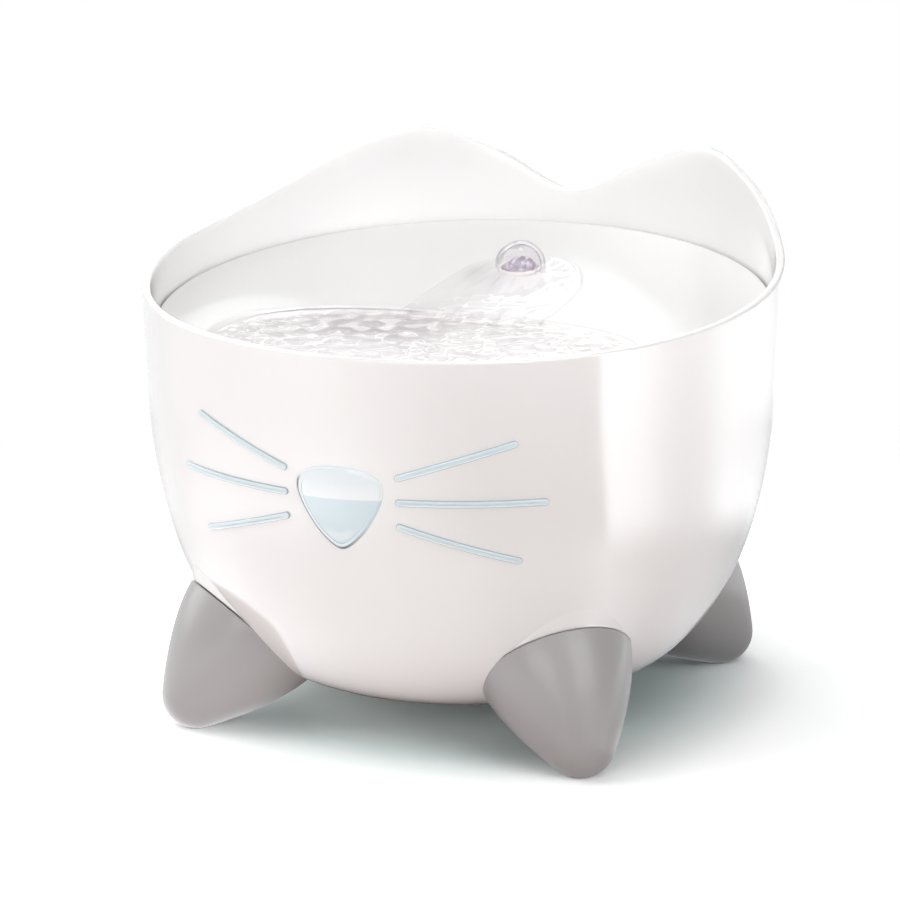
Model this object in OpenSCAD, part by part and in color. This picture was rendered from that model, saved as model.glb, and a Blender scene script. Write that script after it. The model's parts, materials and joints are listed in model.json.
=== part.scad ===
// Cat-shaped pet water fountain: a round bowl on four feet, with a tilted drinking
// dish, and below it a filter on a slotted cage that covers a small submersible pump.
// The origin is on the table under the bowl's axis. The cat's nose points along -Y.

/* [Bowl] */
// Outer radius of the bowl at the front of the rim
rim_r = 117.7; // [115:0.1:120]
// Height of the front of the rim above the table
rim_z = 154.7; // [153:0.1:157]
// Outward lean of the side, in millimetres for each millimetre of height
side_lean = 0.043; // [0.038:0.001:0.048]
// Height where the straight side turns into the rounded belly
belly_z = 121; // [118:1:124]
// Height of the bowl's flat bottom above the table
floor_z = 12.4; // [12:0.1:13]
// Radius of the flat bottom
floor_r = 48; // [47.5:0.5:50]
// Thickness of the bowl's wall
wall = 3.2; // [3:0.1:3.4]

/* [Ears] */
// Angle of each ear's tip from the nose, in degrees
ear_angle = 150; // [148:1:152]
// Height of the ears' tips above the front of the rim
ear_rise = 39.8; // [36:0.1:41]
// Height of the dip between the ears above the front of the rim
nape_rise = 16.5; // [15:0.1:18]

/* [Feet] */
// Angle of the front feet from the nose, in degrees
front_foot_angle = 45; // [44:1:46]
// Angle of the rear feet from the nose, in degrees
rear_foot_angle = 132.5; // [131:0.5:134]
// Distance of the rounded toe's centre from the bowl's axis
toe_reach = 106.2; // [105.6:0.2:106.8]
// Height of the rounded toe's centre above the table
toe_z = 11.7; // [11.5:0.1:11.9]
// Radius of the rounded toe
toe_r = 12.7; // [12.5:0.1:12.9]
// Lean of the foot's axis from the vertical, in degrees
foot_lean = 44; // [43:1:45]
// Radius of the foot where it meets the thigh
thigh_r = 28.2; // [27.8:0.2:28.6]
// Height of the thigh's dome above the foot
thigh_rise = 13; // [12:0.5:15]
// Length from the toe's centre to the thigh
foot_length = 31.3; // [30.9:0.2:31.7]
// Radius of the anti-slip pad under the toe
pad_r = 4; // [3.5:0.5:4]

/* [Face] */
// Half of the nose's width
nose_half_w = 16; // [15:0.5:17]
// Height of the nose's rounded lower tip
nose_tip_z = 85.2; // [84:0.2:86]
// Height of the top of the nose
nose_top_z = 115.4; // [115:0.2:116.4]
// Width of each whisker window
whisker_w = 2.5; // [2.2:0.1:2.8]
// Height of the middle whisker
whisker_z = 103.8; // [103:0.2:104.6]
// Rise of the outer end of the upper whisker, and fall of the lower one
whisker_spread = 12.5; // [11.5:0.5:13]
// How far the clear windows stand out of the wall
window_proud = 0.8; // [0.6:0.1:1]

/* [Dish] */
// Height of the dish's edge plane on the bowl's axis
dish_z = 147.8; // [147:0.1:148.2]
// Slope of the dish towards the nose, in degrees
dish_tilt = 5.5; // [5.2:0.1:5.8]
// Gap between the dish and the wall
dish_gap = 0.7; // [0.5:0.1:0.9]
// Depth of the dish's shallow hollow in its middle
dish_depth = 4; // [3.5:0.1:4.4]
// Depth of the drinking pool's level floor below the edge plane
pool_depth = 6; // [5.6:0.1:6.4]

/* [Spout] */
// Distance of the spout behind the bowl's axis
spout_y = 60; // [60:0.5:67]
// Radius of the spout's hood
hood_r = 9.4; // [9.2:0.1:9.8]
// Height of the hood's top above the edge plane, on the spout's axis
hood_rise = 7.7; // [7:0.1:7.8]

/* [Filter] */
// Distance of the filter's axis behind the bowl's axis
filter_y = 14; // [13:1:14]
// Outer radius of the filter tray
tray_r = 62; // [61:1:63]
// Height of the underside of the filter tray above the table
tray_z = 84; // [83:1:85]
// Height of the tray's wall
tray_h = 20; // [20:1:21]

/* [Pump] */
// Outer radius of the cage at the bowl's floor
cage_foot_r = 46; // [45.5:0.5:46.5]
// Outer radius of the cage under the filter tray
cage_top_r = 40; // [39:0.5:40.5]
// Number of tall slots in the cage
cage_slots = 24; // [20:2:32]
// Width of the pump's casing
pump_w = 46; // [44:1:46]
// Height of the pump's casing
pump_h = 34; // [33:1:35]
// Number of blades on the impeller
blades = 6; // [4:1:8]
// Radius of the impeller's blades
impeller_r = 9; // [8:0.5:9.5]
// Radius of the impeller's ceramic shaft
shaft_r = 1; // [0.8:0.1:1.2]

/* [Cord inlet] */
// Radius of the open hole in the rubber grommet
cord_hole_r = 3.2; // [2.8:0.1:3.4]
// Height of the grommet in the back wall
grommet_z = 138; // [137:0.5:139]

/* [Hidden] */

$fn = 120;
eps = 0.01;                      // a cut reaches this far past a face
top_z = rim_z + ear_rise + 12;   // height of the bowl's blank before its rim is cut
belly_steps = 22;
foot_steps = 14;

// Rim height by angle from the nose: level at the front, then up over each ear
rim_knots = [[0, rim_z], [60, rim_z + 2.4], [90, rim_z + 8.1], [115, rim_z + 16],
    [ear_angle - 15, rim_z + ear_rise - 7.9], [ear_angle, rim_z + ear_rise],
    [ear_angle + 15, rim_z + ear_rise - 9.1], [180, rim_z + nape_rise]];

gasket_t = 0.8;                  // squashed thickness of the window gaskets
plate_t = 2;                     // thickness of the plates behind the windows
plate_margin = 1.8;              // how far the nose's plate reaches past its outline
slot_gap = 0.1;                  // clearance round each window in its slot
pad_inset = 3;                   // depth of the pad's seat in the toe
pad_proud = 0.4;                 // how far the pad stands out of the toe
core_r = 24.5;                   // radius of the leg core where it leaves the thigh
core_end_r = 13;
core_length = 24;

dish_edge_t = 3;                 // thickness of the dish's outer edge
dish_t = 2.6;                    // thickness of the dish elsewhere
dish_r = side_r(dish_z) - wall - dish_gap;
ledge_t = 2.5;
ledge_in_r = dish_r - 4.6;
pool_y = -50;                    // middle of the pool along the dish
pool_half_x = 82;
pool_half_y = 52;
pool_front_r = dish_r - 9.5;     // the pool's front follows the rim
spout_seat = -3.4;                 // level of the hood's seat in the dish
hood_wall = 1.6;
hood_collar_r = 5.4;
riser_r = 6;                     // outer radius of the riser pipe
riser_bore = 4.4;
socket_r = 6.4;                  // bore of the socket that slips over the riser
socket_wall = 2;
socket_low_z = 131;
socket_roof_z = 148.2;           // where the socket's bore ends under the hood
lid_t = 3;
skirt_h = 5;
tray_wall = 2.2;
inlet_y = -11;                   // the pump's outlet pipe and the tray's inlet share this axis
outlet_r = 6.9;                  // outer radius of the pump's outlet pipe
outlet_bore = 5;
outlet_top = tray_z + 1;
inner_floor_z = floor_z + wall;
cage_wall = 2;
cup_h = 5;                       // height of the suction cups
pump_z = inner_floor_z + cup_h;
pump_back = 20;                  // the casing runs from this far behind the axis
pump_front = -18;                // to this far in front of it
chamber_r = 11;
chamber_depth = 11;
rotor_z = pump_z + 17;           // height of the impeller's axis
running = 0.05;                  // radial clearance of the impeller on its shaft

// ---- shared forms ----

// Outer radius of the straight side at height z
function side_r(z) = rim_r + side_lean * (z - rim_z);

// The belly is a cubic curve from the straight side down to the edge of the flat bottom
belly = [[side_r(belly_z), belly_z], [side_r(belly_z) - side_lean * 65, belly_z - 65],
    [90.4, floor_z], [floor_r, floor_z]];
function cubic(p, t) = pow(1 - t, 3) * p[0] + 3 * pow(1 - t, 2) * t * p[1]
    + 3 * (1 - t) * t * t * p[2] + pow(t, 3) * p[3];
function cubic_slope(p, t) = pow(1 - t, 2) * (p[1] - p[0]) + 2 * (1 - t) * t * (p[2] - p[1])
    + t * t * (p[3] - p[2]);
// Point of the belly moved inward, square to the curve
function belly_point(t, inset) = let (d = cubic_slope(belly, t))
    cubic(belly, t) + inset * [d[1], -d[0]] / norm(d);

// Solid with the bowl's outline moved inward by inset, up to the height top
module bowl_form(inset = 0, top = top_z)
    rotate_extrude()
        polygon(concat([[0, top], [0, floor_z + inset]],
            [for (i = [belly_steps:-1:0]) belly_point(i / belly_steps, inset)],
            [[side_r(top) - inset, top]]));

// Smooth rise through the rim's knots; the slope at a knot is the mean of its two sides
function knot_slope(i) = (rim_knots[i + 1][1] - rim_knots[i][1]) / (rim_knots[i + 1][0] - rim_knots[i][0]);
function knot_tangent(i) = i == 0 || i == len(rim_knots) - 1 ? 0 : (knot_slope(i - 1) + knot_slope(i)) / 2;
function knot_span(a, i = 0) = i >= len(rim_knots) - 2 || a < rim_knots[i + 1][0] ? i : knot_span(a, i + 1);
function rim_height(angle) = let (
    a = abs(angle),
    i = knot_span(a),
    h = rim_knots[i + 1][0] - rim_knots[i][0],
    t = (a - rim_knots[i][0]) / h)
    (2 * pow(t, 3) - 3 * t * t + 1) * rim_knots[i][1] + (pow(t, 3) - 2 * t * t + t) * h * knot_tangent(i)
    + (3 * t * t - 2 * pow(t, 3)) * rim_knots[i + 1][1] + (pow(t, 3) - t * t) * h * knot_tangent(i + 1);

// Rim line seen from one side, and seen from the front, at the middle of the wall
rim_mid_r = side_r(rim_z) - wall / 2;
function rim_from_side(a) = [-rim_mid_r * cos(a), rim_height(a)];
function rim_from_front(a) = [rim_mid_r * sin(a), rim_height(a)];

// Space above the rim line. Seen from the side it follows the rim past the middle of the bowl;
// behind that the ears stand up into it, with their outline as seen from the front
module above_rim() {
    side_end = 98;
    ear_start = 118;
    rise = 0.15;                 // slopes of the two outlines past their ends
    fall = 0.75;
    ears_y = 30;                 // the ears' outline counts behind this line
    far = 140;
    high = top_z + 10;
    difference() {
        rotate([90, 0, 90]) translate([0, 0, -far]) linear_extrude(2 * far)
            polygon(concat([[far, high], [-far, high], [-far, rim_height(0)]],
                [for (a = [0:7:side_end]) rim_from_side(a)],
                [[far, rim_height(side_end) + rise * (far - rim_from_side(side_end)[0])]]));
        translate([0, far, 0]) rotate([90, 0, 0]) linear_extrude(far - ears_y)
            polygon(concat([[far, 0], [far, rim_height(ear_start) - fall * (far - rim_from_front(ear_start)[0])]],
                [for (a = [ear_start:4:178]) rim_from_front(a)], [rim_from_front(180)],
                [for (a = [178:-4:ear_start]) [-rim_from_front(a)[0], rim_from_front(a)[1]]],
                [[-far, rim_height(ear_start) - fall * (far - rim_from_front(ear_start)[0])], [-far, 0]]));
    }
}

// Turns something made at the nose round to the angle a
module facing(a)
    rotate([0, 0, a]) children();

module mirror_left()
    mirror([1, 0, 0]) children();

// ---- feet ----

// The foot's own frame: origin at the toe's centre, +Z along its axis up into the bowl
module foot_frame(a)
    facing(a) translate([0, -toe_reach, toe_z]) rotate([-foot_lean, 0, 0]) children();

toe_angle = 30;                  // where the foot's side leaves the round toe
foot_pull = 27.5;                // reach of the side's curve from the toe; longer is fuller
foot_side = let (t = toe_r * [cos(toe_angle), -sin(toe_angle)])
    [[thigh_r, foot_length], t + foot_pull * [sin(toe_angle), cos(toe_angle)], t];
function foot_point(t) = pow(1 - t, 2) * foot_side[0] + 2 * t * (1 - t) * foot_side[1] + t * t * foot_side[2];

module foot_form()
    rotate_extrude()
        polygon(concat([[0, foot_length]], [for (i = [0:foot_steps]) foot_point(i / foot_steps)],
            [for (a = [35:5.5:90]) toe_r * [cos(a), -sin(a)]]));

// Cone inside the foot that carries it
module leg_core(gap = 0)
    translate([0, 0, foot_length - core_length])
        cylinder(r1 = core_end_r + gap, r2 = core_r + gap, h = core_length + (gap > 0 ? eps : 0));

// White thigh that rises from the foot and fades into the bowl: half of a rounded dome
module thigh(a)
    foot_frame(a) translate([0, 0, foot_length])
        rotate_extrude()
            polygon(concat([[0, 0]], [for (i = [0:10]) [thigh_r * cos(i * 9), thigh_rise * sin(i * 9)]]));

module foot(a) color([0.65, 0.64, 0.64]) difference() {
    foot_frame(a) foot_form();
    bowl_form();
    foot_frame(a) leg_core(slot_gap / 2);
    facing(a) translate([0, -toe_reach, -toe_r]) cylinder(r = toe_r, h = toe_r + pad_proud);
    facing(a) translate([0, -toe_reach, 0]) cylinder(r = pad_r, h = pad_inset + pad_proud);
}

module foot_pad(a) color([0.35, 0.35, 0.36])
    facing(a) translate([0, -toe_reach, 0]) cylinder(r = pad_r, h = pad_inset + pad_proud);

module foot_front_right() foot(front_foot_angle);
module foot_front_left() foot(-front_foot_angle);
module foot_rear_right() foot(rear_foot_angle);
module foot_rear_left() foot(-rear_foot_angle);
module foot_pad_front_right() foot_pad(front_foot_angle);
module foot_pad_front_left() foot_pad(-front_foot_angle);
module foot_pad_rear_right() foot_pad(rear_foot_angle);
module foot_pad_rear_left() foot_pad(-rear_foot_angle);

// ---- face: windows drawn in the XZ plane and pushed through the front wall ----

module through_front(depth = 90)
    translate([0, -40, 0]) rotate([90, 0, 0]) linear_extrude(depth) children();

// Part of a window that lies between two shells of the bowl's outline
module between_shells(outer_inset, inner_inset) difference() {
    intersection() {
        children();
        bowl_form(outer_inset, rim_z);
    }
    bowl_form(inner_inset, rim_z + eps);
}

module bar(from, to, w) {
    run = to - from;
    translate(from) rotate(atan2(run[1], run[0])) {
        translate([0, -w / 2]) square([norm(run), w]);
        circle(w / 2);
        translate([norm(run), 0]) circle(w / 2);
    }
}

// Inner and outer ends of the three whiskers on the cat's left, looking out from the bowl
module whiskers(w) {
    bar([21.4, whisker_z + 9], [59.2, whisker_z + 9 + whisker_spread], w);
    bar([21.4, whisker_z], [67.8, whisker_z], w);
    bar([21.4, whisker_z - 9], [58.8, whisker_z - 9 - whisker_spread], w);
}

// Outline of the plate behind the whiskers, rounded at its corners
module whisker_plate()
    offset(3) polygon([[21.7, whisker_z - 12.5], [58, whisker_z - 9 - whisker_spread - 2.5],
        [62, whisker_z - 9 - whisker_spread], [69.5, whisker_z - 3], [69.5, whisker_z + 3],
        [62, whisker_z + 9 + whisker_spread - 1], [56, whisker_z + 9 + whisker_spread - 0.5],
        [21.7, whisker_z + 12.5]]);

module whisker_window() color([0.77, 0.87, 0.91, 0.8]) {
    between_shells(-window_proud, wall + gasket_t + plate_t / 2) through_front() whiskers(whisker_w);
    between_shells(wall + gasket_t, wall + gasket_t + plate_t) through_front() whisker_plate();
}

module whisker_gasket() color([0.85, 0.85, 0.85])
    between_shells(wall, wall + gasket_t) through_front() difference() {
        whisker_plate();
        whiskers(whisker_w + 1);
    }

module whisker_window_right() whisker_window();
module whisker_window_left() mirror_left() whisker_window();
module whisker_gasket_right() whisker_gasket();
module whisker_gasket_left() mirror_left() whisker_gasket();

// Rounded triangle with bulging sides, point down
module nose_outline(grow = 0) {
    corner = 5;
    shoulder_x = nose_half_w - corner - 0.5;
    shoulder_z = nose_top_z - 3.2 - corner;
    tip_z = nose_tip_z + corner + 0.5;
    bulge = 62;
    offset(corner + grow, $fn = 48) offset(-1, $fn = 32) offset(1, $fn = 32)
        intersection() {
            hull() {
                translate([-shoulder_x, shoulder_z]) circle(0.5, $fn = 16);
                translate([shoulder_x, shoulder_z]) circle(0.5, $fn = 16);
                translate([0, shoulder_z + 3]) circle(0.5, $fn = 16);
                translate([0, tip_z]) circle(0.5, $fn = 16);
                translate([-shoulder_x * 0.62, (shoulder_z + tip_z) / 2]) circle(1, $fn = 16);
                translate([shoulder_x * 0.62, (shoulder_z + tip_z) / 2]) circle(1, $fn = 16);
            }
            translate([0, nose_top_z - corner - bulge]) circle(bulge, $fn = 360);
        }
}

// Clear lens: its face is part of a large ball, and a plate holds it behind the wall
module nose_lens() color([0.77, 0.87, 0.91, 0.8]) {
    ball_r = 70;
    nose_z = (nose_tip_z + nose_top_z) / 2 + 1;
    intersection() {
        between_shells(-6, wall + gasket_t + plate_t / 2) through_front() nose_outline();
        translate([0, -side_r(nose_z) - 2.6 + ball_r, nose_z]) sphere(ball_r);
    }
    between_shells(wall + gasket_t, wall + gasket_t + plate_t) through_front() nose_outline(plate_margin);
}

module nose_gasket() color([0.85, 0.85, 0.85])
    between_shells(wall, wall + gasket_t) through_front() difference() {
        nose_outline(plate_margin);
        nose_outline(0.6);
    }

// ---- bowl ----

// Frame of the dish: +Z square to its edge plane, +Y uphill towards the back
module dish_frame()
    translate([0, 0.4, dish_z]) rotate([dish_tilt, 0, 0]) children();

// Ring inside the wall that the dish rests on
module ledge() intersection() {
    dish_frame() translate([0, 0, -dish_edge_t - ledge_t]) difference() {
        cylinder(r = rim_r, h = ledge_t);
        translate([0, 0, -1]) cylinder(r = ledge_in_r, h = ledge_t + 2);
    }
    bowl_form(wall / 2);
}

// Axis of the cord's way out, level through the back wall
module at_grommet()
    translate([0, side_r(grommet_z) - wall, grommet_z]) rotate([-90, 0, 0]) children();

grommet_seat = 1.2;              // depth of the flush seat in the outside of the wall
grommet_waist = 5.2;
grommet_flange = 8;

module bowl() color([0.97, 0.97, 0.96]) difference() {
    union() {
        difference() {
            union() {
                bowl_form();
                for (a = [-1, 1]) {
                    thigh(a * front_foot_angle);
                    thigh(a * rear_foot_angle);
                    foot_frame(a * front_foot_angle) leg_core();
                    foot_frame(a * rear_foot_angle) leg_core();
                }
            }
            bowl_form(wall, top_z + 1);
        }
        ledge();
        at_grommet() translate([0, 0, -1.2]) cylinder(r = grommet_flange + 2.5, h = 3);
    }
    above_rim();
    through_front() nose_outline(slot_gap);
    through_front() whiskers(whisker_w + 2 * slot_gap);
    mirror_left() through_front() whiskers(whisker_w + 2 * slot_gap);
    at_grommet() translate([0, 0, -8]) cylinder(r = grommet_waist, h = 20);
    at_grommet() translate([0, 0, wall - grommet_seat]) cylinder(r = grommet_flange + slot_gap, h = 10);
}

// Rubber grommet with a flange on each side of the wall and an open hole for the cord
module cord_grommet() color([0.3, 0.3, 0.31]) at_grommet() difference() {
    union() {
        translate([0, 0, -2.4]) cylinder(r = grommet_flange - 1, h = 1.2);
        translate([0, 0, -2.4]) cylinder(r = grommet_waist, h = wall - grommet_seat + 2.4);
        translate([0, 0, wall - grommet_seat]) cylinder(r = grommet_flange, h = grommet_seat);
    }
    translate([0, 0, -5]) cylinder(r = cord_hole_r, h = 12);
}

// ---- drinking dish ----

function dish_face(r) = -dish_depth * (1 - pow(r / dish_r, 2));

// Outline of the pool: a wide oval with full shoulders, grown outward by grow
module pool_outline(grow = 0) {
    fullness = 2.6;
    function oval(a, half, f) = sign(f) * half * pow(abs(f), 2 / fullness);
    intersection() {
        translate([0, pool_y])
            polygon([for (a = [0:6:354]) [oval(a, pool_half_x + grow, cos(a)), oval(a, pool_half_y + grow, sin(a))]]);
        circle(pool_front_r + grow);
    }
}

module at_riser(z)
    translate([0, spout_y, z]) children();

module drinking_dish() color([0.96, 0.96, 0.95]) difference() {
    union() {
        dish_frame() {
            // Shallow hollow plate with a rounded outer edge
            rotate_extrude()
                polygon(concat([for (r = [0:8:96]) [r, dish_face(r) - dish_t]], [[dish_r - 6, -dish_edge_t],
                    [dish_r, -dish_edge_t], [dish_r, -1], [dish_r - 0.4, -0.4], [dish_r - 1, -0.06]],
                    [for (r = [104:-8:0]) [r, dish_face(r)]]));
            // Basin under the pool
            translate([0, 0, -pool_depth - dish_t]) linear_extrude(pool_depth + dish_t - 3.9) pool_outline(2.2);
            // Stiffening ribs round the socket
            for (a = [30:60:330])
                translate([0, spout_y, 0]) rotate(a) translate([socket_r + 1, -0.9, -13]) cube([9, 1.8, 9]);
        }
        // Socket that slips over the riser
        at_riser(socket_low_z) cylinder(r = socket_r + socket_wall, h = socket_roof_z + 1 - socket_low_z);
    }
    dish_frame() {
        translate([0, 0, -pool_depth]) linear_extrude(pool_depth + 1) pool_outline();
        // Drain slots behind the front rim
        for (a = [-42:12:42])
            rotate(a) translate([0, -pool_front_r + 4, -20]) linear_extrude(20) bar([-6, 0], [6, 0], 3.2);
        // Seat of the hood and the hole for its collar
        translate([0, spout_y, spout_seat]) hood_floor(slot_gap, 12);
        translate([0, spout_y, -12]) cylinder(r = hood_collar_r + slot_gap, h = 20);
    }
    at_riser(socket_low_z - 10) cylinder(r = socket_r, h = socket_roof_z + 10 - socket_low_z);
}

// Outline of the hood on the dish: round at the back, straight towards the mouth
mouth_reach = 3;
module hood_floor(gap, h) linear_extrude(h) {
    circle(hood_r + gap);
    translate([-hood_r - gap, -mouth_reach - gap]) square([2 * (hood_r + gap), mouth_reach + gap]);
}

// Vault that ends in a dome at the back
module hood_vault(r, h) translate([0, 0, h]) {
    sphere(r);
    rotate([90, 0, 0]) cylinder(r = r, h = mouth_reach + (r < hood_r ? 5 : 0));
}

// Domed hood with an arched mouth towards the nose, on a collar in the dish's hole
module spout_hood() color([0.78, 0.75, 0.82, 0.7]) dish_frame() translate([0, spout_y, 0]) difference() {
    union() {
        intersection() {
            difference() {
                hood_vault(hood_r, hood_rise - hood_r);
                hood_vault(hood_r - hood_wall, hood_rise - hood_r);
            }
            translate([-20, -20, spout_seat]) cube([40, 40, 20]);
        }
        translate([0, 0, spout_seat]) intersection() {
            hood_floor(0, 1);
            translate([-hood_r, -mouth_reach, 0]) cube([2 * hood_r, 2 * hood_r, 1]);
        }
        translate([0, 0, spout_seat - 1.6]) cylinder(r = hood_collar_r, h = 2);
    }
    translate([0, 0, -10]) cylinder(r = riser_bore, h = 11);
}

// ---- filter ----

module at_filter(z)
    translate([0, filter_y, z]) children();

// Tray with an inlet collar that slips over the pump's outlet pipe
module filter_tray() color([0.9, 0.9, 0.9]) difference() {
    union() {
        at_filter(tray_z) cylinder(r = tray_r, h = tray_h);
        translate([0, inlet_y, tray_z - 8]) cylinder(r = outlet_r + 2.5, h = 8);
    }
    at_filter(tray_z + tray_wall) cylinder(r = tray_r - tray_wall, h = tray_h);
    translate([0, inlet_y, tray_z - 9]) cylinder(r = outlet_r + 0.3, h = 20);
}

// Lid with a skirt outside the tray and the riser pipe that feeds the spout
module filter_lid() color([0.93, 0.93, 0.93]) difference() {
    union() {
        at_filter(tray_z + tray_h - skirt_h) difference() {
            cylinder(r = tray_r + 2, h = skirt_h + lid_t);
            translate([0, 0, -1]) cylinder(r = tray_r + slot_gap, h = skirt_h + 1);
        }
        at_riser(tray_z + tray_h) cylinder(r = riser_r, h = riser_top - tray_z - tray_h);
        at_riser(tray_z + tray_h) cylinder(r = riser_r + 3, h = lid_t + 4);
        // Finger tabs on both sides
        for (s = [-1, 1])
            at_filter(tray_z + tray_h) translate([s * (tray_r + 4), 0, lid_t / 2])
                cube([12, 22, lid_t - 1], center = true);
        // Bead that stiffens the lid
        at_filter(tray_z + tray_h) difference() {
            cylinder(r = 37, h = lid_t + 1.6);
            cylinder(r = 34.6, h = lid_t + 3);
        }
    }
    at_riser(tray_z) cylinder(r = riser_bore, h = 90);
    at_riser(ring_z - 0.55) difference() {
        cylinder(r = riser_r + 1, h = 1.1);
        translate([0, 0, -1]) cylinder(r = groove_r, h = 4);
    }
}

riser_top = dish_z + spout_y * tan(dish_tilt) - 12.5;
ring_z = riser_top - 5;
groove_r = 5.35;

// Rubber ring in the riser's groove
module riser_ring() color([0.25, 0.25, 0.26])
    at_riser(ring_z) rotate_extrude() translate([groove_r + 0.5, 0]) circle(0.5, $fn = 32);

cartridge_z = tray_z + 7.2;

// Basket of the filter cartridge: a grid floor, a rim and three feet
module cartridge_frame() color([0.75, 0.8, 0.84]) at_filter(cartridge_z) {
    difference() {
        cylinder(r = tray_r - tray_wall - 0.6, h = 9.6);
        translate([0, 0, 1.6]) cylinder(r = tray_r - tray_wall - 2.4, h = 12);
        for (x = [-45:15:45], y = [-45:15:45])
            if (norm([x, y]) < 46)
                translate([x, y, -1]) cube([11, 11, 6], center = true);
    }
    for (a = [0:120:240])
        rotate(a) translate([52, 0, -5]) cylinder(r = 3, h = 5);
}

// The three round beds that lie in the cartridge, from the bottom up
module filter_bed(z, h)
    at_filter(z) cylinder(r = tray_r - tray_wall - 2.6, h = h);
module filter_resin() color([0.82, 0.66, 0.4]) filter_bed(cartridge_z + 1.6, 2.4);
module filter_carbon() color([0.13, 0.13, 0.14]) filter_bed(cartridge_z + 4, 2.4);
module filter_foam() color([0.9, 0.92, 0.95]) filter_bed(cartridge_z + 6.4, 4);

// Slotted cage over the pump, which carries the filter tray
module pump_cage() color([0.88, 0.9, 0.92]) difference() {
    translate([0, 0, inner_floor_z]) difference() {
        cylinder(r1 = cage_foot_r, r2 = cage_top_r, h = tray_z - inner_floor_z);
        translate([0, 0, -eps]) cylinder(r1 = cage_foot_r - cage_wall, r2 = cage_top_r - cage_wall,
            h = tray_z - inner_floor_z - 2.5);
        cylinder(r = cage_top_r - 10, h = 100);
    }
    // Tall water slots in two rows
    for (i = [0:cage_slots - 1], row = [0:1])
        rotate((i + row / 2) * 360 / cage_slots)
            translate([0, -cage_top_r + 5, inner_floor_z + 9 + row * 28]) rotate([90, 0, 0])
                linear_extrude(20) bar([0, 0], [0, 21], 3.6);
}

// ---- pump ----

module pump_box(grow, h) {
    corner = 6;
    translate([-pump_w / 2 + corner, pump_front + corner, 0])
        linear_extrude(h)
            offset(corner + grow) square([pump_w - 2 * corner, pump_back - pump_front - 2 * corner]);
}

// Along the impeller's axis, from its front end to the back
module on_rotor(y)
    translate([0, y, rotor_z]) rotate([-90, 0, 0]) children();

module pump_casing() color([0.2, 0.21, 0.23]) difference() {
    union() {
        translate([0, 0, pump_z]) pump_box(0, pump_h);
        translate([0, inlet_y, pump_z + pump_h - 2]) cylinder(r = outlet_r, h = outlet_top - pump_z - pump_h + 2);
        // Cooling ribs on both sides
        for (s = [-1, 1], y = [-2:6:16])
            translate([s * pump_w / 2, y, pump_z + 5]) cylinder(r = 1, h = pump_h - 10);
    }
    // Impeller chamber, its way up to the outlet, and the rotor's well
    on_rotor(pump_front - 1) cylinder(r = chamber_r, h = chamber_depth + 1);
    translate([-16, pump_front - 1, pump_z + 4]) cube([32, 3, 20]);
    translate([0, inlet_y, rotor_z]) cylinder(r = outlet_bore, h = 80);
    on_rotor(pump_front + 1) cylinder(r = 7, h = chamber_depth + 20);
    // Seats of the suction cups' stems
    for (x = [-16, 16], y = [-11, 13])
        translate([x, y, pump_z - 1]) cylinder(r = 2.05, h = 5);
    on_rotor(pump_front + chamber_depth + 20) cylinder(r = 3, h = 5);
}

// Front cover of the impeller chamber, with its inlet slots, the slider's track and the light
module pump_strainer() color([0.27, 0.28, 0.3]) difference() {
    translate([0, pump_front, pump_z]) rotate([90, 0, 0]) linear_extrude(4) difference() {
        translate([-pump_w / 2 + 3, 2]) offset(2) square([pump_w - 6, pump_h - 4]);
        for (s = [-1, 1], x = [4.9, 8.3, 11.7])
            bar([s * x, 12.5], [s * x, 21.5], 2);
        // Holes that the flow slider covers
        for (x = [4.5:3:10.5])
            bar([x, 5.6], [x, 7.6], 1.6);
        translate([0, 28.5]) circle(3.05);
    }
    on_rotor(pump_front - 2.2) cylinder(r = 3, h = 3);
    // Track of the flow slider
    translate([-13, pump_front - 5, pump_z + 4]) cube([26, 3, 5.2]);
}

module flow_slider() color([0.75, 0.76, 0.78]) {
    translate([-10, pump_front - 4, pump_z + 4.3]) cube([12, 2, 4.6]);
    translate([-5.5, pump_front - 6.4, pump_z + 5]) cube([3, 3, 3.2]);
}

module impeller() color([0.93, 0.93, 0.92]) difference() {
    union() {
        on_rotor(pump_front + 8) cylinder(r = impeller_r, h = 1.4);
        on_rotor(pump_front + 2) cylinder(r = 3, h = 8);
        for (i = [0:blades - 1])
            on_rotor(pump_front + 2.6) rotate(i * 360 / blades) translate([1.5, -0.6, 0])
                cube([impeller_r - 2, 1.2, 6]);
    }
    on_rotor(pump_front) cylinder(r = shaft_r + running, h = 20);
}

module rotor_magnet() color([0.16, 0.16, 0.17]) difference() {
    on_rotor(pump_front + 10) cylinder(r = 6, h = 17);
    on_rotor(pump_front) cylinder(r = shaft_r + running, h = 40);
}

module impeller_shaft() color([0.95, 0.94, 0.9])
    on_rotor(pump_front - 1.6) cylinder(r = shaft_r, h = 35);

// Rubber bushes that hold both ends of the shaft
module shaft_bushes() color([0.12, 0.12, 0.13]) difference() {
    union() {
        on_rotor(pump_front - 2.2) cylinder(r = 3, h = 2.2);
        on_rotor(pump_front + chamber_depth + 20) cylinder(r = 3, h = 4);
    }
    on_rotor(pump_front - 1.6) cylinder(r = shaft_r, h = 35);
}

module suction_cups() color([0.8, 0.82, 0.84])
    for (x = [-16, 16], y = [-11, 13])
        translate([x, y, inner_floor_z]) rotate_extrude()
            polygon([[0, 1.6], [5, 0], [6.4, 0], [3.4, 2.6], [2.6, cup_h], [2, cup_h], [2, cup_h + 3.6], [0, cup_h + 3.6]]);

// Sealed light that shines at the nose lens
module led_capsule() color([0.9, 0.95, 1, 0.8]) translate([0, pump_front, pump_z + 28.5]) rotate([90, 0, 0]) {
    cylinder(r = 3, h = 6);
    translate([0, 0, 6]) sphere(3);
}

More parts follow.
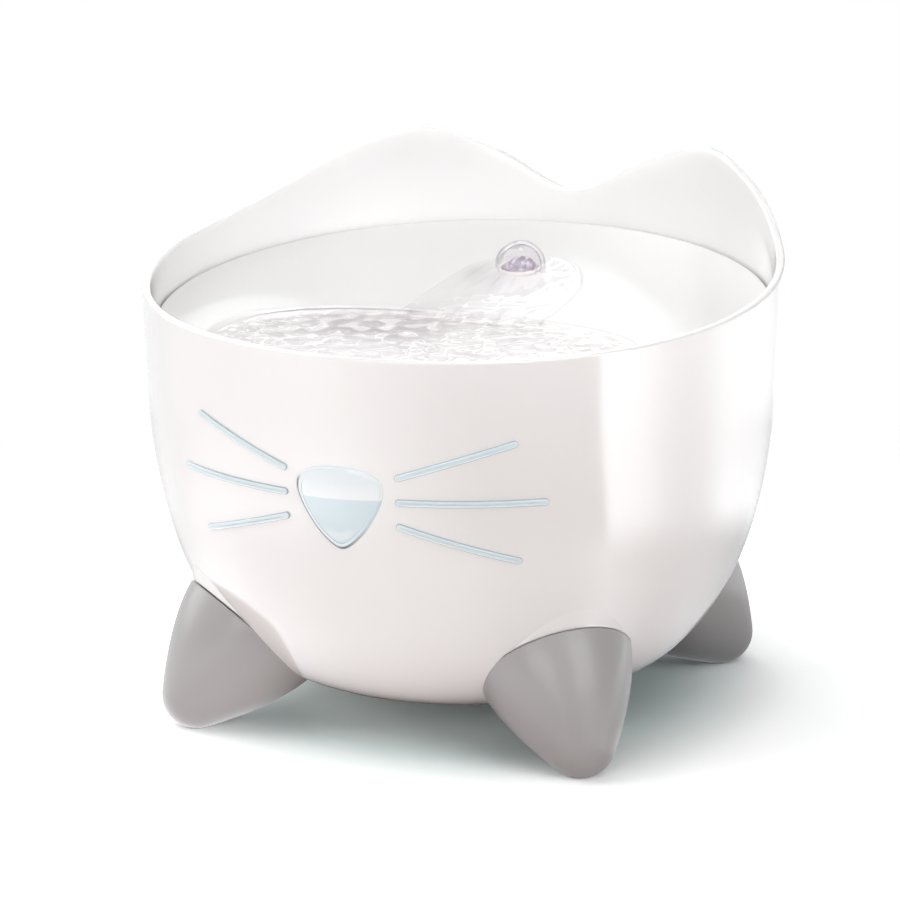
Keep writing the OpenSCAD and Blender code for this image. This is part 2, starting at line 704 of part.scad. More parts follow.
// Gland that seals the cord where it leaves the pump
module pump_gland() color([0.12, 0.12, 0.13])
    translate([12, pump_back, pump_z + 8]) rotate([-90, 0, 0]) difference() {
        cylinder(r1 = 5, r2 = 4, h = 9);
        translate([0, 0, 1]) cylinder(r = 2.6, h = 12);
    }

bowl();
nose_lens();
nose_gasket();
whisker_window_left();
whisker_window_right();
whisker_gasket_left();
whisker_gasket_right();
foot_front_left();
foot_front_right();
foot_rear_left();
foot_rear_right();
foot_pad_front_left();
foot_pad_front_right();
foot_pad_rear_left();
foot_pad_rear_right();
cord_grommet();
drinking_dish();
spout_hood();
filter_tray();
filter_lid();
riser_ring();
cartridge_frame();
filter_foam();
filter_carbon();
filter_resin();
pump_cage();
pump_casing();
pump_strainer();
flow_slider();
impeller();
rotor_magnet();
impeller_shaft();
shaft_bushes();
suction_cups();
led_capsule();
pump_gland();
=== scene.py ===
import json
import math
import bpy
import numpy as np
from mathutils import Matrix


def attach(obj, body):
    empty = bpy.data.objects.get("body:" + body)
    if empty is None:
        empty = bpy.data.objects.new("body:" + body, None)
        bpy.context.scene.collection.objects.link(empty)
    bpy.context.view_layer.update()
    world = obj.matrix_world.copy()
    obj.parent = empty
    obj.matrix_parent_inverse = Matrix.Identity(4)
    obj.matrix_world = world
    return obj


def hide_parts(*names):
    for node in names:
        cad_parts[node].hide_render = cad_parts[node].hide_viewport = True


# Cat-shaped pet water fountain: the smooth pieces, the water, the materials, the light and the camera.
# Lengths in the formulas are millimetres; a mesh is turned to metres when it is made.

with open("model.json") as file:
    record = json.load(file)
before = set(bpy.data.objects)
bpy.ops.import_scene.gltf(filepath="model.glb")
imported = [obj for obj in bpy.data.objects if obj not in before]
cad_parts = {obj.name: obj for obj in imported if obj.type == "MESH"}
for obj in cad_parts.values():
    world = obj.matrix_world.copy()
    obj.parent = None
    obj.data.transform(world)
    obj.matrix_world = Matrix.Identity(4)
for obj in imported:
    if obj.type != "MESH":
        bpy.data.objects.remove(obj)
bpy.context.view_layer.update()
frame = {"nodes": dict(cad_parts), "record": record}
print("frame loaded")

mm = 0.001  # in metres


# Puts a mesh in the scene on its body; an attribute has one value for each of the mesh's points
def makeObject(name, verts, faces, body, replaced=(), attributes=None):
    mesh = bpy.data.meshes.new(name)
    verts = np.asarray(verts, dtype=float) * mm
    mesh.from_pydata(verts.tolist(), [], faces)
    mesh.validate()
    mesh.update()
    mesh.polygons.foreach_set("use_smooth", np.ones(len(mesh.polygons), dtype=bool))
    for key, values in (attributes or {}).items():
        layer = mesh.attributes.new(key, "FLOAT", "POINT")
        layer.data.foreach_set("value", np.asarray(values, dtype=np.float32))
    obj = bpy.data.objects.new(name, mesh)
    bpy.context.scene.collection.objects.link(obj)
    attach(obj, body)
    if replaced:
        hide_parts(*replaced)
    return obj


# Quads between the rows of a grid whose columns run round; poles close the two ends
def roundFaces(rows, cols, start=0, closeFirst=True, closeLast=True, flip=False):
    i, j = np.meshgrid(np.arange(rows - 1), np.arange(cols), indexing="ij")
    a = start + i * cols + j
    b = start + i * cols + (j + 1) % cols
    quads = np.stack([a, b, b + cols, a + cols], -1).reshape(-1, 4)
    faces = quads.tolist()
    ring = np.arange(cols)
    if closeFirst:
        pole = start + rows * cols
        faces += np.stack([ring * 0 + pole, start + (ring + 1) % cols, start + ring], -1).tolist()
    if closeLast:
        pole = start + rows * cols + (1 if closeFirst else 0)
        last = start + (rows - 1) * cols
        faces += np.stack([ring * 0 + pole, last + ring, last + (ring + 1) % cols], -1).tolist()
    if flip:
        faces = [f[::-1] for f in faces]
    return faces


# A closed surface of rings, each ring an array of points; the ends close on their middle points
def ringsToMesh(rings, start=0, flip=False):
    rings = np.asarray(rings)
    rows, cols = rings.shape[:2]
    verts = np.concatenate([rings.reshape(-1, 3), rings[0].mean(0)[None], rings[-1].mean(0)[None]])
    return verts, roundFaces(rows, cols, start, flip=flip)


# Several meshes as one list of points and one of faces
def joined(parts):
    verts, faces, start = [], [], 0
    for v, f in parts:
        verts.append(v)
        faces += [[k + start for k in face] for face in f]
        start += len(v)
    return np.concatenate(verts), faces


# The bowl: a round belly whose rim rises into two ears at the back
bowl = {
    "rimRadius": 117.7, "rimZ": 154.7, "lean": 0.043, "bellyZ": 121.0, "floorZ": 12.4, "floorRadius": 48.0,
    "sideDrop": 65.0, "bellyPull": 90.4, "wall": 3.2, "edge": 1.0,
    # Height of the rim by the angle from the nose, in degrees
    "knots": [(0, 154.7), (60, 157.1), (90, 162.8), (115, 170.7), (135, 186.6), (150, 194.5), (165, 185.4),
              (180, 171.2)],
}


# Radius of the upper side, which leans outward evenly with the height
def sideRadius(z):
    return bowl["rimRadius"] + bowl["lean"] * (z - bowl["rimZ"])


bellyPoints = np.array([
    (sideRadius(bowl["bellyZ"]), bowl["bellyZ"]),
    (sideRadius(bowl["bellyZ"]) - bowl["lean"] * bowl["sideDrop"], bowl["bellyZ"] - bowl["sideDrop"]),
    (bowl["bellyPull"], bowl["floorZ"]),
    (bowl["floorRadius"], bowl["floorZ"])])


# Cubic curve from the straight side (t 0) to the flat bottom (t 1), moved inward along its normal
def bellyCurve(t, inset=0.0):
    t = np.asarray(t, dtype=float)[..., None]
    p = bellyPoints
    at = (1 - t) ** 3 * p[0] + 3 * (1 - t) ** 2 * t * p[1] + 3 * (1 - t) * t * t * p[2] + t ** 3 * p[3]
    slope = (1 - t) ** 2 * (p[1] - p[0]) + 2 * (1 - t) * t * (p[2] - p[1]) + t * t * (p[3] - p[2])
    slope = slope / np.linalg.norm(slope, axis=-1, keepdims=True)
    return at + inset * np.stack([slope[..., 1], -slope[..., 0]], -1)


# Radius of the bowl's outside, moved inward by inset, at any height
curveT = np.linspace(1, 0, 400)


def bowlRadius(z, inset=0.0):
    curve = bellyCurve(curveT, inset)
    low = np.interp(z, curve[:, 1], curve[:, 0])
    return np.where(np.asarray(z) > curve[-1, 1], sideRadius(np.asarray(z)) - inset, low)


# Cubic Hermite through the knots; its slope at a knot is the mean of the two neighbouring slopes
def rimHeight(theta):
    a = np.abs((np.degrees(theta) + 180) % 360 - 180)
    knots = np.array(bowl["knots"], dtype=float)
    step = np.diff(knots[:, 1]) / np.diff(knots[:, 0])
    tangent = np.concatenate([[0], (step[1:] + step[:-1]) / 2, [0]])
    i = np.clip(np.searchsorted(knots[:, 0], a, side="right") - 1, 0, len(knots) - 2)
    h = knots[i + 1, 0] - knots[i, 0]
    t = (a - knots[i, 0]) / h
    return ((2 * t ** 3 - 3 * t ** 2 + 1) * knots[i, 1] + (t ** 3 - 2 * t ** 2 + t) * h * tangent[i]
            + (3 * t ** 2 - 2 * t ** 3) * knots[i + 1, 1] + (t ** 3 - t ** 2) * h * tangent[i + 1])


# Points at a radius and a height round the bowl's axis; angles run from the nose towards +X
def turn(theta, radius, z):
    return np.stack([radius * np.sin(theta), -radius * np.cos(theta), np.broadcast_to(z, np.shape(radius))], -1)


shellColumns, bottomRows, sideRows, rimRows = 480, 54, 25, 9


# Rings of the shell: across the bottom, up the outside, over the rim and down the inside
def bowlRings():
    theta = np.linspace(0, 2 * np.pi, shellColumns, endpoint=False)
    top = rimHeight(theta)
    rings = []

    def ring(radius, z):
        rings.append(turn(theta, radius + 0 * theta, z + 0 * theta))

    # Bottom, belly and side
    for r in np.linspace(4, bowl["floorRadius"] - 4, 6):
        ring(r, bowl["floorZ"])
    for p in bellyCurve(np.linspace(1, 0, bottomRows - 6)):
        ring(p[0], p[1])
    edge = bowl["edge"]
    for u in np.linspace(0, 1, sideRows + 1)[1:]:
        z = bowl["bellyZ"] + (top - edge - bowl["bellyZ"]) * u
        ring(sideRadius(z), z)
    # The rim: two small quarter rounds with a flat between them
    outer = sideRadius(top)
    for a in np.radians([22, 45, 68, 90]):
        ring(outer - edge * (1 - np.cos(a)), top - edge * (1 - np.sin(a)))
    for a in np.radians([90, 68, 45, 22, 0]):
        ring(outer - bowl["wall"] + edge * (1 - np.cos(a)), top - edge * (1 - np.sin(a)))
    # Down the inside to the inner floor
    for u in np.linspace(1, 0, sideRows + 1)[1:]:
        z = bowl["bellyZ"] + (top - edge - bowl["bellyZ"]) * u
        ring(sideRadius(z) - bowl["wall"], z)
    for p in bellyCurve(np.linspace(0, 1, 30)[1:], bowl["wall"]):
        ring(p[0], p[1])
    for r in np.linspace(bowl["floorRadius"] - 6, 4, 5):
        ring(r, bowl["floorZ"] + bowl["wall"])
    return rings


# Way out of the pump's cord through the back wall, behind the flush rubber grommet
outlet = {"z": 138.0, "hole": 5.2, "seat": 8.3, "seatDepth": 1.2, "boss": 10.5, "bossHeight": 1.2, "bevel": 0.15,
          # First and last row above the belly, and half the columns
          "window": (3, 15, 8)}


# Opens a window in both sides of the shell's grid and fills it with rings that run from the outer window
# to the seat, through the hole, and over the inner boss to the inner window
def openOutlet(verts, faces):
    low, high, half = outlet["window"]
    left, right = shellColumns // 2 - half, shellColumns // 2 + half
    outerRow, innerRow = bottomRows - 1, bottomRows + 2 * sideRows + rimRows - 1

    def loop(first, last):
        step = 1 if last > first else -1
        cells = [(first, c) for c in range(left, right)] + [(r, right) for r in range(first, last, step)]
        cells += [(last, c) for c in range(right, left, -1)] + [(r, left) for r in range(last, first, -step)]
        return [r * shellColumns + c for r, c in cells]

    outer, inner = loop(outerRow + low, outerRow + high), loop(innerRow - low, innerRow - high)
    gone = {(r, c) for r in range(outerRow + low, outerRow + high) for c in range(left, right)}
    gone |= {(r, c) for r in range(innerRow - high, innerRow - low) for c in range(left, right)}
    kept = [f for k, f in enumerate(faces) if divmod(k, shellColumns) not in gone]
    phi = np.arctan2(verts[outer, 2] - outlet["z"], verts[outer, 0])

    def circle(r, y=None, inset=0.0):
        x, z = r * np.cos(phi), outlet["z"] + r * np.sin(phi)
        return onBack(x, z, inset) if y is None else np.stack([x, y + 0 * x, z], -1)

    def onBack(x, z, inset):
        return np.stack([x, np.sqrt((sideRadius(z) - inset) ** 2 - x * x), z], -1)

    def between(window, r, share, inset):
        flat = verts[window] + (circle(r, 0.0) - verts[window]) * share
        return onBack(flat[:, 0], flat[:, 2], inset)

    back, wall, bevel = float(sideRadius(outlet["z"])), bowl["wall"], outlet["bevel"]
    seatY, bossY = back - outlet["seatDepth"], back - wall - outlet["bossHeight"]
    seat, hole, boss = outlet["seat"], outlet["hole"], outlet["boss"]
    rings = [between(outer, seat + 0.4, k, 0.0) for k in (0.3, 0.6, 0.85, 1.0)]
    rings += [circle(seat + bevel), circle(seat, None, bevel), circle(seat, None, 0.4), circle(seat, seatY + bevel),
              circle(seat - 0.1, seatY), circle(hole + 0.2, seatY), circle(hole, seatY - bevel),
              circle(hole, bossY + bevel), circle(hole + bevel, bossY), circle(boss - 0.3, bossY),
              circle(boss, bossY + 0.3), circle(boss, None, wall + 0.1), circle(boss + 0.1, None, wall)]
    rings += [between(inner, boss + 0.1, k, wall) for k in (0.7, 0.35)]
    count, start = len(outer), len(verts)
    rows = [outer] + np.arange(start, start + count * len(rings)).reshape(-1, count).tolist() + [inner]
    for a, b in zip(rows, rows[1:]):
        kept += [[a[j], a[(j + 1) % count], b[(j + 1) % count], b[j]] for j in range(count)]
    return np.concatenate([verts, np.concatenate(rings)]), kept


# Feet and thighs, each on its own leaning axis
foot = {
    "angles": {"foot_front_right": 45.0, "foot_front_left": -45.0, "foot_rear_right": 132.5,
               "foot_rear_left": -132.5},
    "toeReach": 106.2, "toeZ": 11.7, "toeRadius": 12.7, "lean": 44.0, "thighRadius": 28.2, "length": 31.3,
    "thighRise": 12.0, "thighSpread": 0.16, "toeAngle": 33.5, "pull": 28.0, "groove": 0.35, "flat": 0.4,
    # How deep in the bowl's wall the foot's top ends, and the thigh's base, side and cap
    "sunk": 1.6, "thighSunk": (2.2, 1.7, 1.2),
}


# From the foot's own frame to the object's: origin at the toe's centre, +Z along the axis into the bowl
def footFrame(points, angle):
    p = np.asarray(points, dtype=float)
    lean, a = math.radians(-foot["lean"]), math.radians(angle)
    y = p[..., 1] * math.cos(lean) - p[..., 2] * math.sin(lean)
    z = p[..., 1] * math.sin(lean) + p[..., 2] * math.cos(lean)
    y = y - foot["toeReach"]
    x = p[..., 0]
    return np.stack([x * math.cos(a) - y * math.sin(a), x * math.sin(a) + y * math.cos(a), z + foot["toeZ"]], -1)


# A profile of (radius, height) points turned about +Z
def revolved(profile, columns):
    phi = np.linspace(0, 2 * np.pi, columns, endpoint=False)
    profile = np.asarray(profile, dtype=float)
    return np.stack([profile[:, None, 0] * np.cos(phi), profile[:, None, 0] * np.sin(phi),
                     np.broadcast_to(profile[:, None, 1], (len(profile), columns))], -1)


# Side of the foot: the round toe, then a quadratic curve that meets it without a kink
def footProfile():
    ta = math.radians(foot["toeAngle"])
    r = foot["toeRadius"]
    toe = [(r * math.cos(a), -r * math.sin(a)) for a in np.radians(np.linspace(88, foot["toeAngle"], 18))]
    end = np.array([r * math.cos(ta), -r * math.sin(ta)])
    start = np.array([foot["thighRadius"], foot["length"]])
    control = end + foot["pull"] * np.array([math.sin(ta), math.cos(ta)])
    side = [(1 - t) ** 2 * start + 2 * t * (1 - t) * control + t * t * end for t in np.linspace(1, 0, 34)[1:]]
    side = np.array(toe + [tuple(p) for p in side])
    # A small round at the top makes the thin groove under the thigh
    groove = foot["groove"]
    last = side[-1]
    side[-1] = last - (0, groove)
    rounds = [(last[0] - groove * (1 - math.cos(a)), last[1] - groove * (1 - math.sin(a)))
              for a in np.radians([30, 60, 90])]
    cap = [(last[0] * k, last[1]) for k in (0.93, 0.85, 0.75, 0.65, 0.5, 0.35, 0.2, 0.05)]
    return np.concatenate([side, rounds, cap])


# What reaches into the bowl sinks along the axis to the middle of its wall, at most by reach, found by halving;
# the toe is flat round the pad
def footRings(angle, reach=40):
    rings = revolved(footProfile(), 128)

    def sunk(shift):
        moved = rings.copy()
        moved[..., 2] -= reach * shift
        placed = footFrame(moved, angle)
        return placed, np.hypot(placed[..., 0], placed[..., 1]) < bowlRadius(placed[..., 2], foot["sunk"])

    low, high = np.zeros(rings.shape[:2]), np.ones(rings.shape[:2])
    _, inside = sunk(low)
    for _ in range(24):
        middle = (low + high) / 2
        _, still = sunk(middle)
        low, high = np.where(still, middle, low), np.where(still, high, middle)
    placed, _ = sunk(np.where(inside, high, 0))
    placed[..., 2] = np.maximum(placed[..., 2], foot["flat"])
    return placed


# The thigh goes on upward from the foot's top edge, until the wall, which spreads faster, takes it in
def thighRings(angle):
    groove = foot["groove"]
    r, base = foot["thighRadius"], foot["length"]
    rows = [(0.3 * r, base), (0.7 * r, base), (0.95 * r, base), (r - groove, base),
            (r - groove * 0.3, base + groove * 0.4), (r, base + groove)]
    low = footFrame(revolved(rows, 160), angle)
    a = math.radians(angle)
    spread = foot["thighSpread"]
    upward = np.array([spread * math.sin(a), -spread * math.cos(a), 1.0]) * foot["thighRise"]
    rise = [low[-1] + upward * k for k in np.linspace(0, 1, 16)[1:]]
    middle = rise[-1].mean(0)
    cap = [middle + (rise[-1] - middle) * k for k in (0.95, 0.6, 0.3)]
    rings = np.concatenate([low, rise, cap])
    # Whatever would reach into the bowl stays inside its wall
    depth = np.repeat(foot["thighSunk"], [len(low), len(rise), len(cap)])[:, None]
    rho = np.hypot(rings[..., 0], rings[..., 1])
    rings[..., :2] *= (np.maximum(rho, bowlRadius(rings[..., 2]) - depth) / rho)[..., None]
    return rings


# The dish is a shallow bowl with a deeper oval pool at its front; the pool's outline is a superellipse
dish = {"z": 147.8, "tilt": 5.5, "gap": 0.7, "depth": 4.0, "thickness": 2.6, "edge": 3.0, "shift": 0.4,
        "poolY": -50.0, "poolX": 82.0, "poolHalfY": 52.0, "fullness": 2.6, "poolDepth": 6.0, "poolToRim": 9.5,
        "shoulder": 1.6, "spoutY": 60.0, "socket": (6.4, 8.4, 131.0, 149.4), "ledge": (4.6, 1.4, 2.5)}
dishRadius = float(sideRadius(dish["z"]) - bowl["wall"] - dish["gap"])


# From the dish's frame to the object's: +Z square to its edge plane, +Y uphill
def dishFrame(points):
    p = np.asarray(points, dtype=float)
    t = math.radians(dish["tilt"])
    y = p[..., 1] * math.cos(t) - p[..., 2] * math.sin(t)
    z = p[..., 1] * math.sin(t) + p[..., 2] * math.cos(t)
    return np.stack([p[..., 0], y + dish["shift"], z + dish["z"]], -1)


# Height of the dish's top in its own frame: a parabola, lowest in the middle
def dishSurface(x, y):
    return -dish["depth"] * (1 - (x * x + y * y) / dishRadius ** 2)


# The ledge that the dish rests on, a ring sunk half-way into the wall
def ledgeRings():
    inward, outward, height = dish["ledge"]
    low, high = -dish["edge"] - height, -dish["edge"] - 0.02
    inner, outer = dishRadius - inward, dishRadius + outward
    section = [(inner, low), (inner, high), (outer, high), (outer, low), (inner, low)]
    return dishFrame(revolved(section, 240))


# Faces of a ring-shaped piece, whose section is a closed row of points
def tubeFaces(rows, cols):
    return roundFaces(rows, cols, closeFirst=False, closeLast=False)


parts = [openOutlet(*ringsToMesh(bowlRings()))]
for angle in foot["angles"].values():
    parts.append(ringsToMesh(thighRings(angle)))
ledge = ledgeRings()
parts.append((ledge.reshape(-1, 3), tubeFaces(*ledge.shape[:2])))
verts, faces = joined(parts)
bowlShell = makeObject("bowlShell", verts, faces, "bowl", ["bowl"])

footPieces = []
for name, angle in foot["angles"].items():
    verts, faces = ringsToMesh(footRings(angle))
    side = name.replace("foot_", "").split("_")
    label = "foot" + side[0].capitalize() + side[1].capitalize()
    footPieces.append(makeObject(label, verts, faces, "bowl", [name]))
print("bowl and feet made")


# The face: clear windows that follow the bowl's outside
face = {
    # darkSide is the side turned from the light, where the painted dark outline and light band are strongest
    "proud": 0.85, "sunk": -5.0, "bevel": 0.45, "plateOuter": -4.0, "plateInner": -6.0, "darkSide": (-0.6, -0.8),
    # Both ends of each whisker on the +X side, as (x, z)
    "whiskerWidth": 2.5,
    "whiskers": [((21.4, 112.8), (59.2, 125.3)), ((21.4, 103.8), (67.8, 103.9)), ((21.3, 94.8), (58.8, 82.3))],
    "whiskerPlate": [(22.0, 87.5), (28.0, 86.6), (56.6, 77.5), (60.0, 77.5), (64.0, 82.0), (72.0, 99.5),
                     (72.4, 104.0), (71.0, 109.0), (64.0, 126.5), (60.0, 130.4), (56.0, 130.0), (24.5, 119.8),
                     (19.6, 118.0), (18.8, 112.0), (18.8, 95.0), (19.6, 89.2)],
    # The +X half of the nose's outline, from the top to the tip
    "noseProud": 2.5, "noseEdge": 1.3, "noseMiddle": (0, 102.5),
    "nose": [(0, 115.3), (9.5, 114.3), (14.6, 111.6), (16.1, 107.4), (14.6, 101.6), (10.2, 93.8), (6.2, 89.0),
             (2.6, 86.0), (0, 85.1)],
    "nosePlate": ((1.11, 1.12), (0, -12.2)),
}


# Points of the front wall seen at (x, z), moved outward by proud
def onFront(x, z, proud):
    r = bowlRadius(z)
    y = -np.sqrt(np.maximum(r * r - x * x, 0))
    slope = (bowlRadius(z + 0.5) - bowlRadius(z - 0.5))
    normal = np.stack([x / r, y / r, -slope], -1)
    normal /= np.linalg.norm(normal, axis=-1, keepdims=True)
    return np.stack([x, y, z], -1) + normal * np.asarray(proud)[..., None]


# Outline of a bar with round ends
def barOutline(start, end, width, count=96):
    start, end = np.array(start, float), np.array(end, float)
    run = end - start
    length = np.linalg.norm(run)
    u = run / length
    v = np.array([-u[1], u[0]])
    half = width / 2
    side = count // 2 - 12
    along = np.linspace(0, length, side)
    lower = [start + u * s - v * half for s in along]
    upper = [start + u * s + v * half for s in along[::-1]]

    def cap(middle, first):
        return [middle + half * (u * math.cos(a) + v * math.sin(a))
                for a in np.radians(np.linspace(first, first + 180, 14))[1:-1]]
    return np.array(lower + cap(end, -90) + upper + cap(start, 90))


# A bar's rings shrink towards its middle line, so that the bevel keeps one width all round
def barRings(start, end, width, mirror):
    outline = barOutline(start, end, width)
    start, end = np.array(start, float), np.array(end, float)
    u = (end - start) / np.linalg.norm(end - start)
    along = np.clip((outline - start) @ u, 0, np.linalg.norm(end - start))
    spine = start + along[:, None] * u
    outward = (outline - spine) / (width / 2) * (mirror, 1)
    facing = outward @ np.array(face["darkSide"])
    proud = face["proud"]
    rows = [(0.1, face["sunk"]), (1.0, face["sunk"]), (1.0, 0.0), (1.0, proud - face["bevel"]), (0.93, proud - 0.2),
            (0.78, proud - 0.05), (0.6, proud + 0.02), (0.35, proud + 0.07), (0.1, proud + 0.09)]
    return raisedRings(rows, spine, outline, facing)


# Rings on the wall that shrink from the outline towards the spine, with two values for each point that steer the
# painted
# shade: how near it is to the outline, and how far that part of the outline looks to the dark side, turned from the
# light
def raisedRings(rows, spine, outline, facing):
    rings, edge, side = [], [], []
    for k, proud in rows:
        flat = spine + (outline - spine) * k
        rings.append(onFront(flat[:, 0], flat[:, 1], np.full(len(flat), proud)))
        edge.append(np.full(len(flat), k))
        side.append(facing)
    ends = [rows[0][0], rows[-1][0]]
    return np.array(rings), np.concatenate(edge + [ends]), np.concatenate(side + [[0, 0]])


# The plate that holds the windows behind the wall; its outline is a closed list of corners
def plateRings(corners):
    corners = np.array(corners, float)
    after = np.roll(corners, -1, 0)
    outline = np.concatenate([a + (b - a) * np.linspace(0, 1, 9)[:-1, None] for a, b in zip(corners, after)])
    rows = [(0.05, face["plateInner"]), (0.5, face["plateInner"]), (1.0, face["plateInner"]),
            (1.0, face["plateOuter"]), (0.5, face["plateOuter"]), (0.05, face["plateOuter"])]
    rings, _, _ = raisedRings(rows, outline.mean(0), outline, np.zeros(len(outline)))
    return rings


whiskerPieces = []
whiskerSides = [("whiskersRight", "whisker_window_right", 1), ("whiskersLeft", "whisker_window_left", -1)]
for label, node, side in whiskerSides:
    parts, edges, sides = [], [], []
    for start, end in face["whiskers"]:
        rings, edgeNear, facing = barRings(start, end, face["whiskerWidth"], side)
        parts.append(ringsToMesh(rings * (side, 1, 1), flip=side < 0))
        edges.append(edgeNear)
        sides.append(facing)
    plate = plateRings(face["whiskerPlate"])
    parts.append(ringsToMesh(plate * (side, 1, 1), flip=side < 0))
    edges.append(np.zeros(len(parts[-1][0])))
    sides.append(np.zeros(len(parts[-1][0])))
    verts, faces = joined(parts)
    whiskerPieces.append(makeObject(label, verts, faces, "bowl", [node],
                                    attributes={"edge": np.concatenate(edges), "side": np.concatenate(sides)}))


# Cubic from b to c, for t from 0 to 1, which leaves b along a to c and reaches c along b to d
def cubic(a, b, c, d, t):
    return 0.5 * (2 * b + (c - a) * t + (2 * a - 5 * b + 4 * c - d) * t * t + (3 * b - 3 * c + d - a) * t ** 3)


# Closed smooth curve through the points of the nose's right half and their mirror images
def noseOutline(count=160):
    right = np.array(face["nose"])
    loop = np.concatenate([right, right[1:-1][::-1] * (-1, 1)])
    n = len(loop)
    s = np.linspace(0, n, count, endpoint=False)
    i = s.astype(int)
    return cubic(loop[(i - 1) % n], loop[i % n], loop[(i + 1) % n], loop[(i + 2) % n], (s - i)[:, None])


# The lens: an upright edge, a narrow bevel and a front that is a parabola across
def noseRings():
    outline = noseOutline()[::-1]
    edge, top = face["noseEdge"], face["noseProud"] - face["noseEdge"]
    rows = [(0.4, face["sunk"]), (1.0, face["sunk"]), (1.0, 0.0), (1.0, edge - 0.5), (0.975, edge - 0.15)]
    rows += [(k, edge + top * (1 - k * k)) for k in (0.94, 0.9, 0.85, 0.78, 0.7, 0.6, 0.5, 0.4, 0.3, 0.2, 0.1)]
    run = np.roll(outline, -1, 0) - np.roll(outline, 1, 0)
    outward = np.stack([run[:, 1], -run[:, 0]], -1) / np.linalg.norm(run, axis=1, keepdims=True)
    return raisedRings(rows, np.array(face["noseMiddle"]), outline, outward @ np.array(face["darkSide"]))


rings, edgeNear, facing = noseRings()
scale, move = face["nosePlate"]
nosePlate = plateRings(noseOutline(32)[::-1] * scale + move)
verts, faces = joined([ringsToMesh(rings), ringsToMesh(nosePlate)])
blank = np.zeros(len(verts) - len(edgeNear))
edgeNear, facing = np.concatenate([edgeNear, blank]), np.concatenate([facing, blank])
noseLens = makeObject("noseLens", verts, faces, "bowl", ["nose_lens"],
                      attributes={"edge": edgeNear, "side": facing})
print("face made")


# Distance from the pool's middle, in the direction phi, to a circle round the dish's middle
def reachTo(radius, phi):
    b = dish["poolY"] * np.sin(phi)
    return -b + np.sqrt(b * b - dish["poolY"] ** 2 + radius ** 2)


# Distance from the pool's middle to its outline: an oval that stays clear of the dish's edge, with a high power
# mean where the two meet
def poolReach(phi, power=12):
    n = dish["fullness"]
    c, s = np.abs(np.cos(phi)) / dish["poolX"], np.abs(np.sin(phi)) / dish["poolHalfY"]
    oval = (c ** n + s ** n) ** (-1 / n)
    front = reachTo(dishRadius - dish["poolToRim"], phi)
    return (oval ** -power + front ** -power) ** (-1 / power)


# The dish's rings spread from the pool to the round edge
phiDish = np.linspace(0, 2 * np.pi, 480, endpoint=False)


# Points at a distance from the pool's middle, one for each direction
def ringAt(reach):
    return reach * np.cos(phiDish), dish["poolY"] + reach * np.sin(phiDish)


# Rings of the dish: the underside outward, the edge, then the top inward and down into the pool
def dishRings():
    pool, rim = poolReach(phiDish), reachTo(dishRadius, phiDish)
    t, shoulder = dish["thickness"], dish["shoulder"]
    under = pool + 2.6
    rings = []

    def add(reach, w=None, drop=0.0):
        x, y = ringAt(reach)
        height = dishSurface(x, y) if w is None else w + 0 * x
        rings.append(np.stack([x, y, height - drop], -1))

    # Underside, from the middle of the basin outward
    for k in (0.05, 0.3, 0.6, 0.9, 1.0):
        add(pool * k + 2.2 * k, -dish["poolDepth"] - t)
    add(under, -4.2)
    for k in (0.1, 0.3, 0.55, 0.8):
        reach = under + (rim - 6 - under) * k
        x, y = ringAt(reach)
        rings.append(np.stack([x, y, np.minimum(dishSurface(x, y) - t, -dish["edge"])], -1))
    add(rim - 6, -dish["edge"])
    add(rim - 0.3, -dish["edge"])
    add(rim, -dish["edge"] + 0.3)
    # The edge: a 1 mm round on top
    add(rim, -1.1)
    for a in np.radians([25, 50, 75]):
        add(rim - 1 + math.cos(a), -1.1 + math.sin(a) * 1.02)
    for k in np.linspace(1, 0, 44):
        add(pool + shoulder + (rim - 1.3 - pool - shoulder) * k)
    # Soft shoulder down into the pool
    top = dishSurface(*ringAt(pool + shoulder))
    for k in np.linspace(0, 1, 10)[1:]:
        x, y = ringAt(pool + shoulder - shoulder * k)
        ease = 0.5 - 0.5 * math.cos(math.pi * k)
        rings.append(np.stack([x, y, top + (-dish["poolDepth"] - top) * ease], -1))
    for k in (0.97, 0.9, 0.8, 0.65, 0.5, 0.35, 0.2, 0.08):
        add(pool * k, -dish["poolDepth"])
    return np.array(rings)


# Socket that slips over the riser, upright under the hood
def socketRings():
    inner, outer, low, high = dish["socket"]
    section = [(inner, low), (inner, high), (outer, high), (outer, low), (inner, low)]
    return revolved(section, 64) + (0, dish["spoutY"], 0)


verts, faces = ringsToMesh(dishFrame(dishRings()))
socket = socketRings()
verts, faces = joined([(verts, faces), (socket.reshape(-1, 3), tubeFaces(*socket.shape[:2]))])
dishPiece = makeObject("dishBody", verts, faces, "dish", ["drinking_dish"])
print("dish made")


# Moving water
water = {
    # Surface in the pool, height of its ripples, and the shortest and longest waves of three patterns
    "level": -3.9, "ripple": 0.32, "cell": (8.0, 14.0), "fine": (4.5, 8.0), "wide": (35.0, 70.0),
    # The patch where the painted shade network is broad and dark: its middle and its reach
    "paintedShadePatch": (-30.0, -24.0, 34.0),
    # The fan: its two borders from the spout to the pool, and how far it and its tongue stand off the dish
    "left": [(-6, 72), (-18, 61), (-22, 46), (-24, 28), (-25, 10), (-26, -6)],
    "right": [(6, 75), (20, 67), (29, 51), (33, 33), (33, 12), (31, -6)],
    "fanLift": 0.9, "tongue": 2.6, "mouth": 7.0,
}
rng = np.random.default_rng(11)


# Sum of 40 sine waves with random length between the two limits, direction and phase; about -1 to 1
def waveField(lengths):
    size = np.exp(rng.uniform(np.log(lengths[0]), np.log(lengths[1]), 40))
    direction, phase = rng.uniform(0, 2 * np.pi, 40), rng.uniform(0, 2 * np.pi, 40)

    def field(x, y):
        total = 0
        for a in range(40):
            k = 2 * np.pi / size[a]
            total = total + np.sin(k * (x * np.cos(direction[a]) + y * np.sin(direction[a])) + phase[a])
        return total / math.sqrt(20)
    return field


